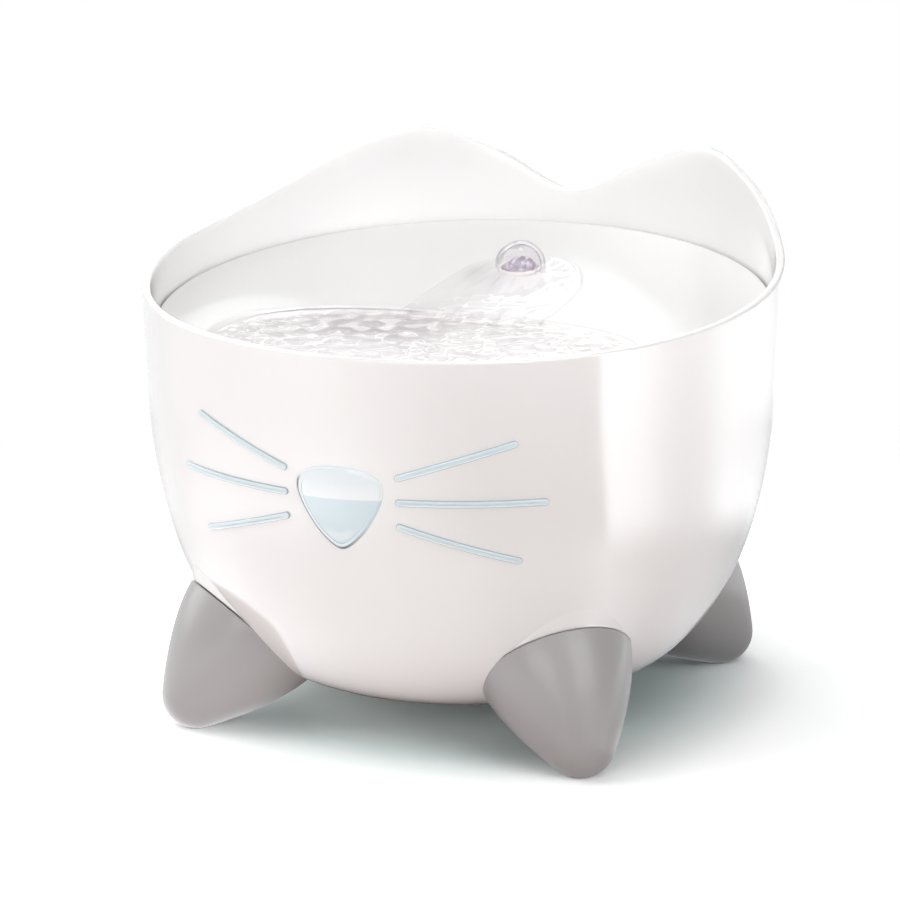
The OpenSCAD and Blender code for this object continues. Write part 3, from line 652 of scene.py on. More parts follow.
cellWave, fineWave, wideWave = waveField(water["cell"]), waveField(water["fine"]), waveField(water["wide"])


# 0 at a, 1 at b, with an even start and end
def smooth(a, b, v):
    t = np.clip((v - a) / (b - a), 0, 1)
    return t * t * (3 - 2 * t)


# Painted shade of bent light on the water: white cells in a grey network, which is broad and dark in the patch and
# a thin outline elsewhere
def paintedRippleShade(x, y):
    px, py, reach = water["paintedShadePatch"]
    patch = np.exp(-((x - px) ** 2 + (1.5 * (y - py)) ** 2) / reach ** 2)
    cell = cellWave(x, y) + 0.2 * fineWave(x, y)
    broad = smooth(0.45, 0.05, cell) * (0.14 + 0.5 * patch * smooth(-0.8, 0.3, wideWave(x, y)))
    thin = 0.3 * np.exp(-((cell - 0.3) / 0.14) ** 2) * (0.3 + 0.7 * smooth(-0.6, 0.6, wideWave(x, y)))
    fine = 0.1 * np.exp(-(fineWave(x, y) / 0.25) ** 2) * smooth(0.6, -0.6, wideWave(x, y))
    return np.clip(broad + thin + fine, 0, 1) * (1 - 0.8 * smooth(32, 74, np.abs(x + 12)))


# The pool's moving skin; it sinks under the surface at its edge, so that it closes against the wall
def poolRings():
    phi = phiDish
    pool = poolReach(phi)
    rings, tone = [], []
    for k in np.linspace(0.01, 1, 170):
        reach = pool * k + 0.9 * smooth(0.9, 1, k)
        x, y = reach * np.cos(phi), dish["poolY"] + reach * np.sin(phi)
        surface = np.minimum(dishSurface(x, y), 0) * 0.35 + water["level"] * 0.65
        height = 0.8 * np.tanh(1.3 * cellWave(x, y)) + 0.2 * fineWave(x, y)
        rings.append(np.stack([x, y, surface + water["ripple"] * height * (1 - 0.7 * smooth(0.9, 1, k))], -1))
        # Painted shade: a dark line along the far side of the pool's edge, where the dish steps down into it
        paintedEdgeShade = 0.55 * smooth(0.968, 0.985, k) * smooth(-45, -15, y) * smooth(-84, -64, x) * smooth(-12, -28, x)
        tone.append(np.maximum(paintedRippleShade(x, y) * (1 - smooth(0.93, 1, k)), paintedEdgeShade))
    under = []
    for k in (0.999, 0.6, 0.2):
        reach = pool * k + (0.9 if k > 0.9 else 0)
        x, y = reach * np.cos(phi), dish["poolY"] + reach * np.sin(phi)
        under.append(np.stack([x, y, np.full_like(x, -dish["poolDepth"] + 0.1)], -1))
    values = np.concatenate([np.zeros(3 * len(phi)), np.concatenate(tone[::-1]), [0, 0]])
    return np.array(under[::-1] + rings[::-1]), values


rings, tone = poolRings()
verts, faces = ringsToMesh(dishFrame(rings))
poolWater = makeObject("poolWater", verts, faces, "dish", attributes={"tone": tone})


# Smooth curve through the points, for v from 0 to 1
def curveThrough(points, v):
    p = np.array(points, float)
    i = np.clip((v * (len(p) - 1)).astype(int), 0, len(p) - 2)
    t = (v * (len(p) - 1) - i)[..., None]
    return cubic(p[np.maximum(i - 1, 0)], p[i], p[i + 1], p[np.minimum(i + 2, len(p) - 1)], t)


# The fan of water: columns run across it, rows run down from the spout to the pool
def fanGrid(rows=170, cols=150):
    v = np.linspace(0, 1, rows)
    u = np.linspace(-1, 1, cols)
    left, right = curveThrough(water["left"], v), curveThrough(water["right"], v)
    middle, half = (left + right) / 2, (right - left) / 2
    x = middle[:, None, 0] + half[:, None, 0] * u
    y = middle[:, None, 1] + half[:, None, 1] * u

    def bell(value, at, width):
        return np.exp(-((value - at) / width) ** 2)

    # Rounded edge bead, a tongue from the mouth, and streaks that turn into ripples lower down
    mouth = dish["spoutY"] - water["mouth"]
    edge = np.sqrt(np.clip(1 - np.abs(u) ** 6, 0, 1))
    lift = water["fanLift"] * edge + 0.2 * bell(np.abs(u), 0.93, 0.05)
    tongue = water["tongue"] * bell(x, 0, 9) * smooth(mouth - 30, mouth - 4, y) * smooth(mouth + 4, mouth - 3, y)
    spread = x + 0.02 * (y - dish["spoutY"]) * x
    streak = 0.12 * np.sin(spread * 1.3) * bell(x, 0, 15) * smooth(mouth + 2, mouth - 9, y) * smooth(5, 22, y)
    wave = water["ripple"] * cellWave(x, y) * smooth(24, 0, y) + 0.02 * fineWave(x * 1.4, y * 0.5) * bell(x, 2, 16)
    fadeIn = smooth(0, 0.08, v)[:, None]
    ground = dishSurface(x, y)
    top = ground + (lift + tongue + (streak + wave) * edge) * fadeIn + 0.03
    pool = smooth(3, -5, y)
    top = top * (1 - pool) + (ground - 1.0) * pool
    base = ground + 0.02 - 1.2 * pool
    top = np.maximum(top, base)
    # Painted shade: a thin dark line just inside the edge, loops that repeat it, short strokes under the mouth,
    # where the water bends the light
    down = smooth(0.03, 0.14, v)[:, None]
    border = bell(np.abs(u), 0.965, 0.014) * np.where(u > 0, 0.36, 0.2) * down
    loops = 0.16 * bell(np.abs(u), 0.7, 0.025) * (smooth(0.1, 0.3, v) * smooth(0.7, 0.45, v))[:, None]
    strokes = bell(np.sin(spread * 0.9 + 0.6), 0, 0.22) * bell(y - 0.25 * x, mouth - 15, 4.5)
    strokes = 0.4 * strokes * bell(x, -2, 8)
    flow = 0.05 * smooth(0.35, 0.9, fineWave(x * 1.5, y * 0.3))
    # Painted shadow of the hood on the fan, beside and below the mouth
    shade = 0.32 * bell(x, -15, 7) * bell(y, mouth - 3, 9) + 0.1 * bell(x, 0, 14) * bell(y, mouth - 8, 12)
    lower = 0.6 * paintedRippleShade(x, y) * smooth(20, 2, y)
    values = np.clip(border + loops + strokes + (flow + shade) * edge + lower, 0, 1) * (1 - pool * 0.6)
    return x, y, top, base, values


x, y, top, base, tone = fanGrid()
rows, cols = x.shape
upper = np.stack([x, y, top], -1).reshape(-1, 3)
lower = np.stack([x, y, base - 0.02], -1).reshape(-1, 3)
# The upper skin, the lower skin turned over, and a strip that joins them all round
i, j = np.meshgrid(np.arange(rows - 1), np.arange(cols - 1), indexing="ij")
a = i * cols + j
quads = np.stack([a, a + cols, a + cols + 1, a + 1], -1).reshape(-1, 4)
n = rows * cols
border = np.concatenate([np.arange(cols), np.arange(1, rows) * cols + cols - 1,
                         n - cols + np.arange(cols - 2, -1, -1), np.arange(rows - 2, 0, -1) * cols])
following = np.roll(border, -1)
strip = np.stack([border, following, following + n, border + n], -1)
faces = np.concatenate([quads, quads[:, ::-1] + n, strip]).tolist()
fanWater = makeObject("fanWater", dishFrame(np.concatenate([upper, lower])), faces, "dish",
                      attributes={"tone": np.concatenate([tone.reshape(-1), np.zeros(n)])})

# Water that wells up under the hood, painted dark as shade but for its pale lip: a ribbed dome behind, and a round
# hollow with the lip in front
well = {"radius": 7.2, "domeTop": 3.6, "domeShare": 0.84, "ribs": 8, "hollowY": -1.2, "lip": 1.0}


# Rings of the welling water: the lip as a half circle in section, and the dome as a quarter circle with ribs,
# which is low at its front
def wellRings():
    phi = np.linspace(0, 2 * np.pi, 96, endpoint=False)
    r0, lip, ahead = well["radius"], well["lip"], well["hollowY"]
    rings, tone = [], []

    def add(radius, height, value, moved):
        x, y = radius * np.cos(phi), radius * np.sin(phi) + ahead * moved
        rings.append(np.stack([x, y, dishSurface(x, y + dish["spoutY"]) + height + 0 * phi], -1))
        tone.append(value + 0 * phi)

    for k in (0.2, 0.6, 0.9):
        add((r0 + lip) * k, 0.02, 0.0, 1)
    for a in np.radians(np.linspace(0, 180, 9)):
        pale = smooth(200, 150, np.degrees(a))
        add(r0 + lip / 2 + lip / 2 * math.cos(a), 0.05 + 1.15 * math.sin(a), pale, 1)
    for k in (0.97, 0.92, 0.88):
        add(r0 * k, 0.12, 0.0, 1)
    for a in np.radians(np.linspace(2, 86, 20)):
        radius = r0 * well["domeShare"] * math.cos(a)
        rise = well["domeTop"] * math.sin(a) * smooth(-3.5, 1.5, radius * np.sin(phi))
        add(radius * (1 + 0.05 * np.sin(well["ribs"] * phi)), 0.15 + rise, 0.0, 1 - math.sin(a) * 1.8)
    return np.array(rings) + (0, dish["spoutY"], 0), np.concatenate(tone + [[0, 0]])


rings, tone = wellRings()
verts, faces = ringsToMesh(dishFrame(rings))
spoutWater = makeObject("spoutWater", verts, faces, "dish", attributes={"tone": tone})
print("water made")


# An sRGB hex colour in linear light
def linear(colour):
    value = int(colour, 16)
    out = []
    for shift in (16, 8, 0):
        c = ((value >> shift) & 255) / 255
        out.append(c / 12.92 if c <= 0.04045 else ((c + 0.055) / 1.055) ** 2.4)
    return (*out, 1.0)


def newMaterial(name):
    mat = bpy.data.materials.new(name)
    mat.use_nodes = True
    mat.node_tree.nodes.clear()
    return mat, mat.node_tree


# Adds a node and returns one of its outputs. An input is a number, an sRGB hex colour or another node's output;
# the rest are the node's own settings
def addNode(tree, kind, inputs, out=0, **settings):
    node = tree.nodes.new("ShaderNode" + kind)
    for key, value in settings.items():
        setattr(node, key, value)
    for key, value in inputs.items():
        if isinstance(value, bpy.types.NodeSocket):
            tree.links.new(value, node.inputs[key])
        else:
            node.inputs[key].default_value = linear(value) if isinstance(value, str) else value
    return node.outputs[out] if node.outputs else node


# Settings that many nodes share: Math as times, plus and minus, Map Range with soft ends, Mix for colours
times, plus, minus = {"operation": "MULTIPLY"}, {"operation": "ADD"}, {"operation": "SUBTRACT"}
soft, ofColours = {"interpolation_type": "SMOOTHSTEP"}, {"data_type": "RGBA", "out": 2}


# A moulded plastic or rubber: fine waviness of its surface, grain apart and depth high in millimetres, and a
# gloss that changes a little over about 36 mm
def moulded(name, colour, rough, coat=0.0, grain=0.4, depth=0.01, spread=0.04):
    mat, tree = newMaterial(name)
    place = addNode(tree, "TexCoord", {}, "Object")
    fine = addNode(tree, "TexNoise", {"Vector": place, "Scale": 1000 / grain, "Detail": 3.0})
    wide = addNode(tree, "TexNoise", {"Vector": place, "Scale": 28.0, "Detail": 2.0})
    gloss = addNode(tree, "MapRange", {0: wide, 3: max(rough - spread, 0.01), 4: rough + spread})
    bump = addNode(tree, "Bump", {"Height": fine, "Strength": 0.5, "Distance": depth * mm})
    shader = addNode(tree, "BsdfPrincipled", {"Base Color": colour, "Roughness": gloss, "Normal": bump, "IOR": 1.5,
                                              "Coat Weight": coat, "Coat Roughness": 0.06})
    addNode(tree, "OutputMaterial", {"Surface": shader})
    return mat


# Polished white ABS: deep, even white with a sharp reflection on top
polishedAbs = moulded("polishedAbs", "f2f1f0", 0.16, coat=0.6, grain=6.0, depth=0.004, spread=0.03)
# The dish has the same plastic with a softer polish
satinAbs = moulded("satinAbs", "f2f1f0", 0.24, coat=0.3, grain=6.0, depth=0.004, spread=0.04)
# Warm grey polypropylene, eggshell finish: broad soft reflections
eggshellPp = moulded("eggshellPp", "a9a6a6", 0.38, coat=0.15, grain=0.8, depth=0.01)


# 1 where the value lies between start and end, with soft ends
def stripe(tree, value, start, end, blur):
    rise = addNode(tree, "MapRange", {0: value, 1: start - blur, 2: start + blur}, **soft)
    fall = addNode(tree, "MapRange", {0: value, 1: end + blur, 2: end - blur}, **soft)
    return addNode(tree, "Math", {0: rise, 1: fall}, **times)


# Clear pale blue acrylic over a light wall, drawn opaque with painted light. Its side wall's look through the front
# is painted as a light band with a dark outline, strongest on the side turned from the light; a painted reflection
# of a lamp lies above a line, and a painted crescent of light under it at the tip. A stripe has its start, end and
# softness as shares of the way from the middle to the edge, and its colour; an outline has its start, its end and
# its least strength
def clearAcrylic(name, looks):
    mat, tree = newMaterial(name)
    edge = addNode(tree, "Attribute", {}, "Fac", attribute_name="edge")
    side = addNode(tree, "Attribute", {}, "Fac", attribute_name="side")
    away = addNode(tree, "MapRange", {0: side, 1: -0.25, 2: 0.6}, **soft)
    layers = []
    # Painted reflection of a lamp on the upper part, and a painted crescent of light at the tip
    if "paintedReflection" in looks:
        start, slope, blur, change = looks["paintedReflection"]
        up = addNode(tree, "SeparateXYZ", {0: addNode(tree, "TexCoord", {}, "Object")}, "Z")
        drop = addNode(tree, "Math", {0: up.node.outputs["X"], 1: slope}, **times)
        height = addNode(tree, "Math", {0: up, 1: drop}, **plus)
        upper = addNode(tree, "MapRange", {0: height, 1: start * mm, 2: (start + blur) * mm}, **soft)
        higher = addNode(tree, "MapRange", {0: height, 1: start * mm, 2: (start + change) * mm}, **soft)
        low, high = looks["paintedReflectionColours"]
        layers.append((upper, addNode(tree, "Mix", {0: higher, 6: low, 7: high}, **ofColours)))
        high, low = looks["tip"]
        tip = addNode(tree, "MapRange", {0: up, 1: high * mm, 2: low * mm}, **soft)
        start, end, blur, strength, tint = looks["crescent"]
        crescent = addNode(tree, "Math", {0: tip, 1: stripe(tree, edge, start, end, blur)}, **times)
        layers.append((addNode(tree, "Math", {0: crescent, 1: strength}, **times), tint))
    # Painted light band and grey line, strongest on the side turned from the light
    for start, end, blur, tint in looks["stripes"]:
        amount = addNode(tree, "Math", {0: stripe(tree, edge, start, end, blur), 1: away}, **times)
        layers.append((amount, tint))
    # Painted dark outline, strongest on the side turned from the light
    start, end, least = looks["outline"]
    strength = addNode(tree, "MapRange", {0: away, 3: least, 4: 1.0})
    line = addNode(tree, "MapRange", {0: edge, 1: start, 2: end}, **soft)
    layers.append((addNode(tree, "Math", {0: line, 1: strength}, **times), looks["dark"]))
    colour = looks["core"]
    for amount, tint in layers:
        colour = addNode(tree, "Mix", {0: amount, 6: colour, 7: tint}, **ofColours)
    shader = addNode(tree, "BsdfPrincipled", {"Base Color": colour, "Roughness": 0.12, "IOR": 1.49,
                                              "Coat Weight": 0.4, "Coat Roughness": 0.03})
    addNode(tree, "OutputMaterial", {"Surface": shader})
    return mat


# Colours of the painted light on the face: a painted light band, grey line and dark outline, and on the nose a
# painted lamp reflection and crescent
whiskerLooks = {"core": "dcebf1", "dark": "485b64", "outline": (0.8, 0.93, 0.45),
                "stripes": [(0.5, 0.74, 0.05, "f4f9fb")]}
noseLooks = {
    "core": "d6e8ef", "dark": "34454d", "outline": (0.928, 0.941, 0.04),
    "stripes": [(0.866, 0.921, 0.006, "e9f3f8"), (0.846, 0.858, 0.005, "93a9b3")],
    # The painted reflection of a lamp: height of its lower line at x 0, its slope, and the heights in which it
    # begins and changes colour
    "paintedReflection": (103.9, -0.024, 0.35, 10), "paintedReflectionColours": ("f5fafd", "e9f2f6"),
    # The painted crescent of light comes in between two heights
    "tip": (94.0, 90.5), "crescent": (0.6, 0.8, 0.05, 0.8, "e9f3f8"),
}
whiskerAcrylic = clearAcrylic("whiskerAcrylic", whiskerLooks)
noseAcrylic = clearAcrylic("noseAcrylic", noseLooks)


# Clear sheet without refraction: a tint, by the tone attribute that holds painted shade of bent light, or stronger
# where it is seen edge-on, and a mirror by Fresnel on its outer side. Shadows pass through it
def clearSheet(name, clear, dark, ior, rough, byTone):
    mat, tree = newMaterial(name)
    if byTone:
        value = addNode(tree, "Attribute", {}, "Fac", attribute_name="tone")
    else:
        facing = addNode(tree, "LayerWeight", {"Blend": 0.5}, "Facing")
        value = addNode(tree, "MapRange", {0: facing, 1: 0.5, 2: 1.0}, **soft)
    tint = addNode(tree, "Mix", {0: value, 6: clear, 7: dark}, **ofColours)
    through = addNode(tree, "BsdfTransparent", {"Color": tint})
    mirror = addNode(tree, "BsdfGlossy", {"Color": "ffffff", "Roughness": rough})
    front = addNode(tree, "Math", {0: 1.0, 1: addNode(tree, "NewGeometry", {}, "Backfacing")}, **minus)
    amount = addNode(tree, "Math", {0: addNode(tree, "Fresnel", {"IOR": ior}), 1: front}, **times)
    body = addNode(tree, "MixShader", {0: amount, 1: through, 2: mirror})
    bare = addNode(tree, "BsdfTransparent", {"Color": "ffffff"})
    shadow = addNode(tree, "LightPath", {}, "Is Shadow Ray")
    addNode(tree, "OutputMaterial", {"Surface": addNode(tree, "MixShader", {0: shadow, 1: body, 2: bare})})
    return mat


# Thin running water: clear, with painted grey lines of shade where it bends the light
runningWater = clearSheet("runningWater", "fefdfd", "bab2ba", 1.33, 0.03, True)
# Smoke-tinted polycarbonate, moulded: lilac where it is seen edge-on
smokePolycarbonate = clearSheet("smokePolycarbonate", "fcfbfc", "c6bfcc", 1.5, 0.06, False)
# Water in the shade of the hood: its lilac is painted shade, with a cream lip and lighter streaks that run up and
# down, about 2 mm apart and 17 mm long
shadedWater, tree = newMaterial("shadedWater")
streaks = addNode(tree, "Mapping", {"Vector": addNode(tree, "TexCoord", {}, "Object"), "Scale": (420, 420, 60)})
noise = addNode(tree, "TexNoise", {"Vector": streaks, "Scale": 1.0, "Detail": 2.0})
light = addNode(tree, "MapRange", {0: noise, 1: 0.42, 2: 0.62}, **soft)
shaded = addNode(tree, "Mix", {0: light, 6: "a297a8", 7: "e2dde4"}, **ofColours)
lip = addNode(tree, "Attribute", {}, "Fac", attribute_name="tone")
colour = addNode(tree, "Mix", {0: lip, 6: shaded, 7: "f6f1ec"}, **ofColours)
shader = addNode(tree, "BsdfPrincipled", {"Base Color": colour, "Roughness": 0.15, "IOR": 1.33})
addNode(tree, "OutputMaterial", {"Surface": shader})


def dress(obj, mat):
    obj.data.materials.clear()
    obj.data.materials.append(mat)


dress(bowlShell, polishedAbs)
dress(dishPiece, satinAbs)
for piece in footPieces:
    dress(piece, eggshellPp)
for piece in whiskerPieces:
    dress(piece, whiskerAcrylic)
dress(noseLens, noseAcrylic)
dress(poolWater, runningWater)
dress(fanWater, runningWater)
dress(spoutWater, shadedWater)

# Materials of the CAD nodes, by their slot in the record: dull where the mould was spark-eroded or the rubber is
# soft, glossier where it was polished, and rough in relief where it is foam, grains or beads
slotLooks = {
    "bowl_white": polishedAbs, "dish_white": satinAbs, "foot_grey": eggshellPp,
    "spout_smoke": smokePolycarbonate,
    # Backing plates behind the face, same acrylic without an edge attribute
    "window_clear": moulded("paleAcrylic", "c5dfe8", 0.1, coat=0.5, grain=4.0, depth=0.004),
    "gasket_grey": moulded("greySilicone", "cfcfcf", 0.6, grain=0.5, depth=0.02),
    "pad_rubber": moulded("darkTpe", "5a5a5c", 0.75, grain=0.35, depth=0.03),
    "filter_plastic": moulded("naturalPp", "e6e8ea", 0.35, coat=0.1, grain=0.8, depth=0.01),
    "cartridge_plastic": moulded("blueGreyPp", "bccad4", 0.4, grain=0.8, depth=0.01),
    "seal_rubber": moulded("blackNitrile", "2c2c2e", 0.55, grain=0.4, depth=0.02),
    "foam": moulded("openFoam", "eef1f5", 0.95, grain=1.4, depth=0.5),
    "carbon": moulded("carbonGrains", "1f1f22", 0.7, grain=1.2, depth=0.6),
    "resin": moulded("resinBeads", "cfa552", 0.35, grain=0.9, depth=0.4),
    "pump_black": moulded("sparkErodedAbs", "34363b", 0.55, grain=0.35, depth=0.03),
    "pump_grey": moulded("darkGreyAbs", "474b51", 0.5, grain=0.35, depth=0.03),
    "slider_grey": moulded("lightGreyAcetal", "bfc2c6", 0.4, grain=0.5, depth=0.01),
    "impeller_white": moulded("whiteAcetal", "e8e8e4", 0.35, grain=0.5, depth=0.01),
    "magnet": moulded("coatedFerrite", "2d2d30", 0.45, grain=0.3, depth=0.02),
    "ceramic": moulded("polishedCeramic", "f0ece2", 0.12, coat=0.5, grain=0.5, depth=0.004),
    "cup_rubber": moulded("clearSilicone", "cbd1d6", 0.4, grain=0.5, depth=0.01),
    "lamp_clear": moulded("clearEpoxy", "dcecff", 0.1, coat=0.5, grain=1.0, depth=0.004),
}
slotOf = {part["node"]: part["material_slot"] for part in frame["record"]["subparts"]}
for node, obj in frame["nodes"].items():
    dress(obj, slotLooks[slotOf[node]])
print("materials made")


# Soft cards round the object, seen only in its reflections: strength by azimuth from the nose towards +X.
# The first three lie on the floor, near, in the middle and far; the last two stand low and high in the room
cards = {
    "near": [(-165, 0.8), (-150, 0.6), (-120, 0.6), (-90, 1.3), (-60, 2.4), (-30, 2.7), (0, 2.2), (24, 1.4),
             (36, 0.8), (52, 0.7), (66, 1.9), (84, 1.1), (105, 1.25), (135, 0.8), (165, 0.6), (178, 0.7)],
    "middle": [(-165, 1.2), (-135, 0.8), (-90, 1.4), (-60, 3.1), (-30, 3.9), (-15, 3.4), (0, 2.2), (28, 0.0),
               (66, 0.4), (68, 4.8), (80, 3.9), (92, 2.2), (105, 2.2), (120, 3.2), (135, 2.3), (165, 0.9),
               (178, 1.3)],
    "far": [(-165, 1.4), (-135, 1.0), (-105, 1.2), (-75, 2.1), (-45, 2.9), (-30, 3.1), (-15, 2.4), (0, 1.2),
            (22, 0.1), (66, 0.3), (68, 5.0), (80, 4.2), (94, 2.4), (106, 2.2), (120, 3.4), (135, 2.9), (165, 1.3),
            (178, 1.5)],
    "low": [(-165, 0.9), (-150, 0.85), (-135, 1.0), (-90, 1.5), (-60, 2.1), (-40, 2.0), (-15, 1.3), (30, 1.8),
            (60, 1.6), (90, 1.0), (120, 1.0), (165, 1.1), (178, 0.8)],
    "high": [(-165, 1.2), (-90, 1.2), (-45, 1.5), (0, 1.7), (30, 2.1), (75, 1.9), (178, 1.4)],
}
# Reaches are distances on the floor, in metres, at which something starts and ends
studio = {
    "floorSize": 2.5, "floorColour": "f8edea", "cardColour": "f9fcff", "ambient": 0.03,
    # The floor as the camera sees it: its colour, with a painted shadow under the bowl that is darker and greener,
    # and white farther out
    "shownColour": "f4f6f6", "paintedShadowColour": "b4c1c0", "paintedShadowReach": (0.07, 0.128), "shownGain": 1.83,
    "whiteReach": (0.26, 0.42),
    # The three cards on the floor, and the height in the room at which low turns to high
    "nearReach": (0.20, 0.28), "farReach": (0.42, 0.52), "startReach": (0.045, 0.125), "lowToHigh": (0.45, 0.75),
    # A dark patch of painted shade in the light that the floor throws back, beside the rear right foot in the
    # bowl's shade; the camera doesn't see it
    "shadeAt": (0.07, 0.045, 0), "shadeReach": (0.052, 0.088), "shadeColour": "161b1c",
}


# Strength of a card by the azimuth of the vector; it is linear between the listed ones
def cardStrength(tree, vector, stops):
    xAxis = addNode(tree, "SeparateXYZ", {0: vector}, "X")
    ahead = addNode(tree, "Math", {0: xAxis.node.outputs["Y"], 1: -1.0}, **times)
    angle = addNode(tree, "Math", {0: xAxis, 1: ahead}, operation="ARCTAN2")
    turns = addNode(tree, "Math", {0: angle, 1: 2 * math.pi}, operation="DIVIDE")
    share = addNode(tree, "ValToRGB", {0: addNode(tree, "Math", {0: turns, 1: 0.5}, **plus)})
    top = max(strength for _, strength in stops)
    elements = share.node.color_ramp.elements
    elements[0].position, elements[1].position = 0.0, 1.0
    # The two ends meet at the back, half-way between the first and the last strength
    back = (stops[0][1] + stops[-1][1]) / 2 / top
    elements[0].color = elements[1].color = (back, back, back, 1)
    for azimuth, strength in stops:
        element = elements.new(azimuth / 360 + 0.5)
        element.color = (strength / top,) * 3 + (1,)
    return addNode(tree, "Math", {0: share, 1: top}, **times)


mesh = bpy.data.meshes.new("studioFloor")
corners = np.array([(-1, -1, 0), (1, -1, 0), (1, 1, 0), (-1, 1, 0)]) * studio["floorSize"]
mesh.from_pydata(corners.tolist(), [], [(0, 1, 2, 3)])
floor = bpy.data.objects.new("studioFloor", mesh)
bpy.context.scene.collection.objects.link(floor)

mat, tree = newMaterial("paleFloor")
mat.cycles.emission_sampling = "NONE"
place = addNode(tree, "TexCoord", {}, "Object")
reach = addNode(tree, "VectorMath", {0: place}, "Value", operation="LENGTH")


# How far the distance has gone from the start to the end of a reach in studio
def past(tree, name, distance):
    start, end = studio[name]
    return addNode(tree, "MapRange", {0: distance, 1: start, 2: end}, **soft)


# Painted shade patch in the colour of the floor's bounced light
apart = addNode(tree, "VectorMath", {0: place, 1: studio["shadeAt"]}, "Value", operation="DISTANCE")
lit = past(tree, "shadeReach", apart)
bounce = addNode(tree, "Mix", {0: lit, 6: studio["shadeColour"], 7: studio["floorColour"]}, **ofColours)
matt = addNode(tree, "BsdfDiffuse", {"Color": bounce})
# Painted shadow: the shown colour darkens and greens towards the bowl's middle
clear = past(tree, "paintedShadowReach", reach)
tint = addNode(tree, "Mix", {0: clear, 6: studio["paintedShadowColour"], 7: studio["shownColour"]}, **ofColours)
gained = addNode(tree, "VectorMath", {0: tint, "Scale": studio["shownGain"]}, operation="SCALE")
shown = addNode(tree, "BsdfDiffuse", {"Color": gained})
white = addNode(tree, "Emission", {"Color": "ffffff", "Strength": 1.0})
backdrop = addNode(tree, "MixShader", {0: past(tree, "whiteReach", reach), 1: shown, 2: white})
beyondNear, far = past(tree, "nearReach", reach), past(tree, "farReach", reach)
near = addNode(tree, "Math", {0: 1.0, 1: beyondNear}, **minus)
near = addNode(tree, "Math", {0: near, 1: past(tree, "startReach", reach)}, **times)
middle = addNode(tree, "Math", {0: beyondNear, 1: far}, **minus)
glow = 0.0
for name, share in (("near", near), ("middle", middle), ("far", far)):
    part = addNode(tree, "Math", {0: cardStrength(tree, place, cards[name]), 1: share}, **times)
    glow = addNode(tree, "Math", {0: glow, 1: part}, **plus)
card = addNode(tree, "Emission", {"Color": studio["cardColour"], "Strength": glow})
path = addNode(tree, "LightPath", {}).node.outputs
forCamera = addNode(tree, "MixShader", {0: path["Is Camera Ray"], 1: matt, 2: backdrop})
forGloss = addNode(tree, "MixShader", {0: path["Is Glossy Ray"], 1: forCamera, 2: card})
addNode(tree, "OutputMaterial", {"Surface": forGloss})
dress(floor, mat)

# World: white for the camera and through clear pieces, cards in reflections, even light for everything else
world = bpy.data.worlds.new("studioWorld")
bpy.context.scene.world = world
world.use_nodes = True
tree = world.node_tree
tree.nodes.clear()
direction = addNode(tree, "TexCoord", {}, "Generated")
high = past(tree, "lowToHigh", addNode(tree, "SeparateXYZ", {0: direction}, "Z"))
low = addNode(tree, "Math", {0: 1.0, 1: high}, **minus)
glow = 0.0
for name, share in (("low", low), ("high", high)):
    part = addNode(tree, "Math", {0: cardStrength(tree, direction, cards[name]), 1: share}, **times)
    glow = addNode(tree, "Math", {0: glow, 1: part}, **plus)
ambient = addNode(tree, "Background", {"Color": (1.0, 0.99, 0.98, 1), "Strength": studio["ambient"]})
card = addNode(tree, "Background", {"Color": studio["cardColour"], "Strength": glow})
white = addNode(tree, "Background", {"Color": "ffffff", "Strength": 1.0})
path = addNode(tree, "LightPath", {}).node.outputs
forGloss = addNode(tree, "MixShader", {0: path["Is Glossy Ray"], 1: ambient, 2: card})
seen = addNode(tree, "Math", {0: path["Is Camera Ray"], 1: path["Is Transmission Ray"]}, operation="MAXIMUM")
addNode(tree, "OutputWorld", {"Surface": addNode(tree, "MixShader", {0: seen, 1: forGloss, 2: white})})

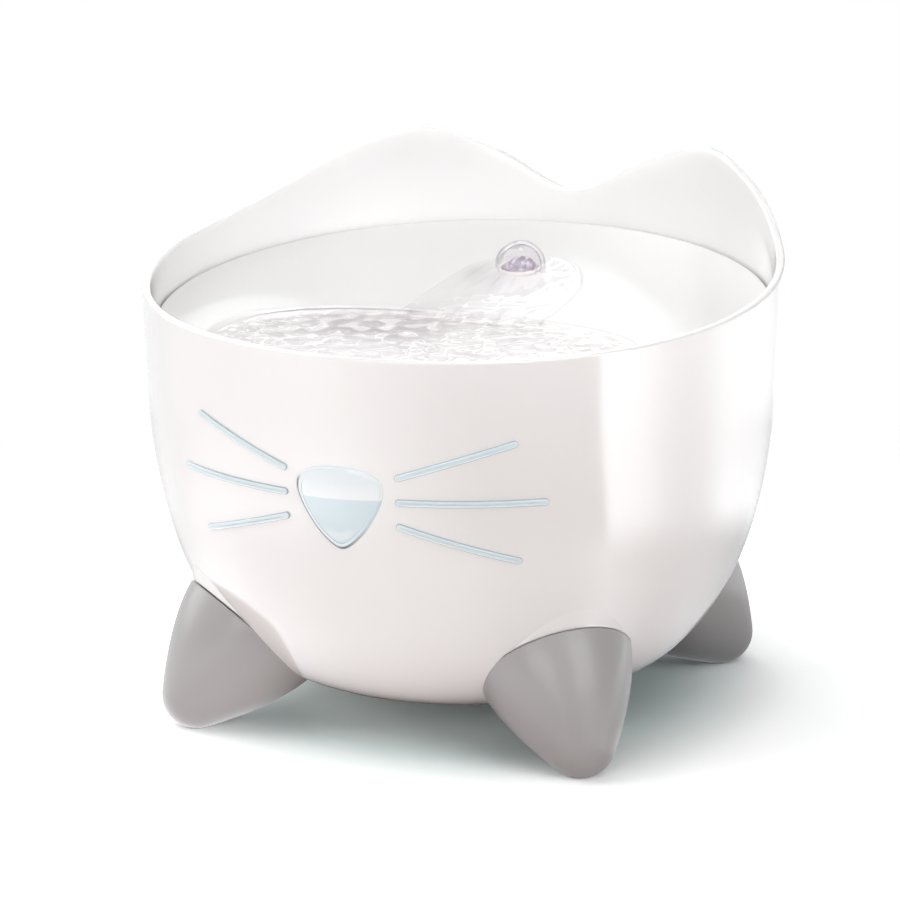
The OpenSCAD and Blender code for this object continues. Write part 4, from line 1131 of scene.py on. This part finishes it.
lamps = {
    # name: (azimuth from the nose towards +X, elevation, distance in metres, width, height, watts)
    "front": (0, 15, 1.4, 0.8, 0.6, 4.5),
    "right": (63, 22, 1.4, 0.8, 0.6, 4.6),
    "left": (-90, 15, 1.4, 0.8, 0.6, 4.3),
    "backLeft": (-150, 15, 1.4, 0.8, 0.6, 1.9),
    "highLeft": (-60, 45, 1.4, 0.9, 0.9, 5.6),
    "highBackLeft": (-120, 45, 1.4, 0.9, 0.9, 3.8),
    "highRight": (60, 45, 1.4, 0.9, 0.9, 2.9),
    "highBack": (180, 45, 1.4, 0.9, 0.9, 1.7),
    "top": (0, 88, 1.2, 0.4, 0.4, 2.2),
    # Narrow strip that passes over the front rim and reaches the inside of the ears; its last two numbers are
    # the height it looks at and its spread
    "earStrip": (44, 12, 1.3, 0.7, 0.12, 0.083, 0.2, 14),
}


# A lamp looks at the object's axis at the height aim (metres) and spreads its light over an angle in degrees
def addLamp(name, azimuth, elevation, distance, width, height, watts, aim=0.1, spread=180):
    light = bpy.data.lights.new(name, "AREA")
    light.spread = math.radians(spread)
    light.shape = "RECTANGLE"
    light.size, light.size_y, light.energy = width, height, watts
    obj = bpy.data.objects.new(name, light)
    bpy.context.scene.collection.objects.link(obj)
    a, e = math.radians(azimuth), math.radians(elevation)
    level = distance * math.cos(e)
    obj.location = (level * math.sin(a), -level * math.cos(a), aim + distance * math.sin(e))
    # A lamp shines along its own -Z, so its +Z points away from the object
    obj.rotation_euler = (math.pi / 2 - e, 0, a)
    obj.visible_camera = False


for name, values in lamps.items():
    addLamp(name, *values)

# Lengths in metres but for lens and sensor, angles in radians
view = {"lens": 166.62, "sensor": 36, "clipEnd": 20, "place": (0.5553, -1.3934, 0.48366), "down": 0.2546,
        "turn": 0.3823}
camera = bpy.data.cameras.new("studioCamera")
camera.lens, camera.sensor_width, camera.clip_end = view["lens"], view["sensor"], view["clipEnd"]
cameraObject = bpy.data.objects.new("studioCamera", camera)
bpy.context.scene.collection.objects.link(cameraObject)
cameraObject.location = view["place"]
cameraObject.rotation_euler = (math.pi / 2 - view["down"], 0, view["turn"])
bpy.context.scene.camera = cameraObject
bpy.context.scene.view_settings.view_transform = "Standard"
print("light and camera made")
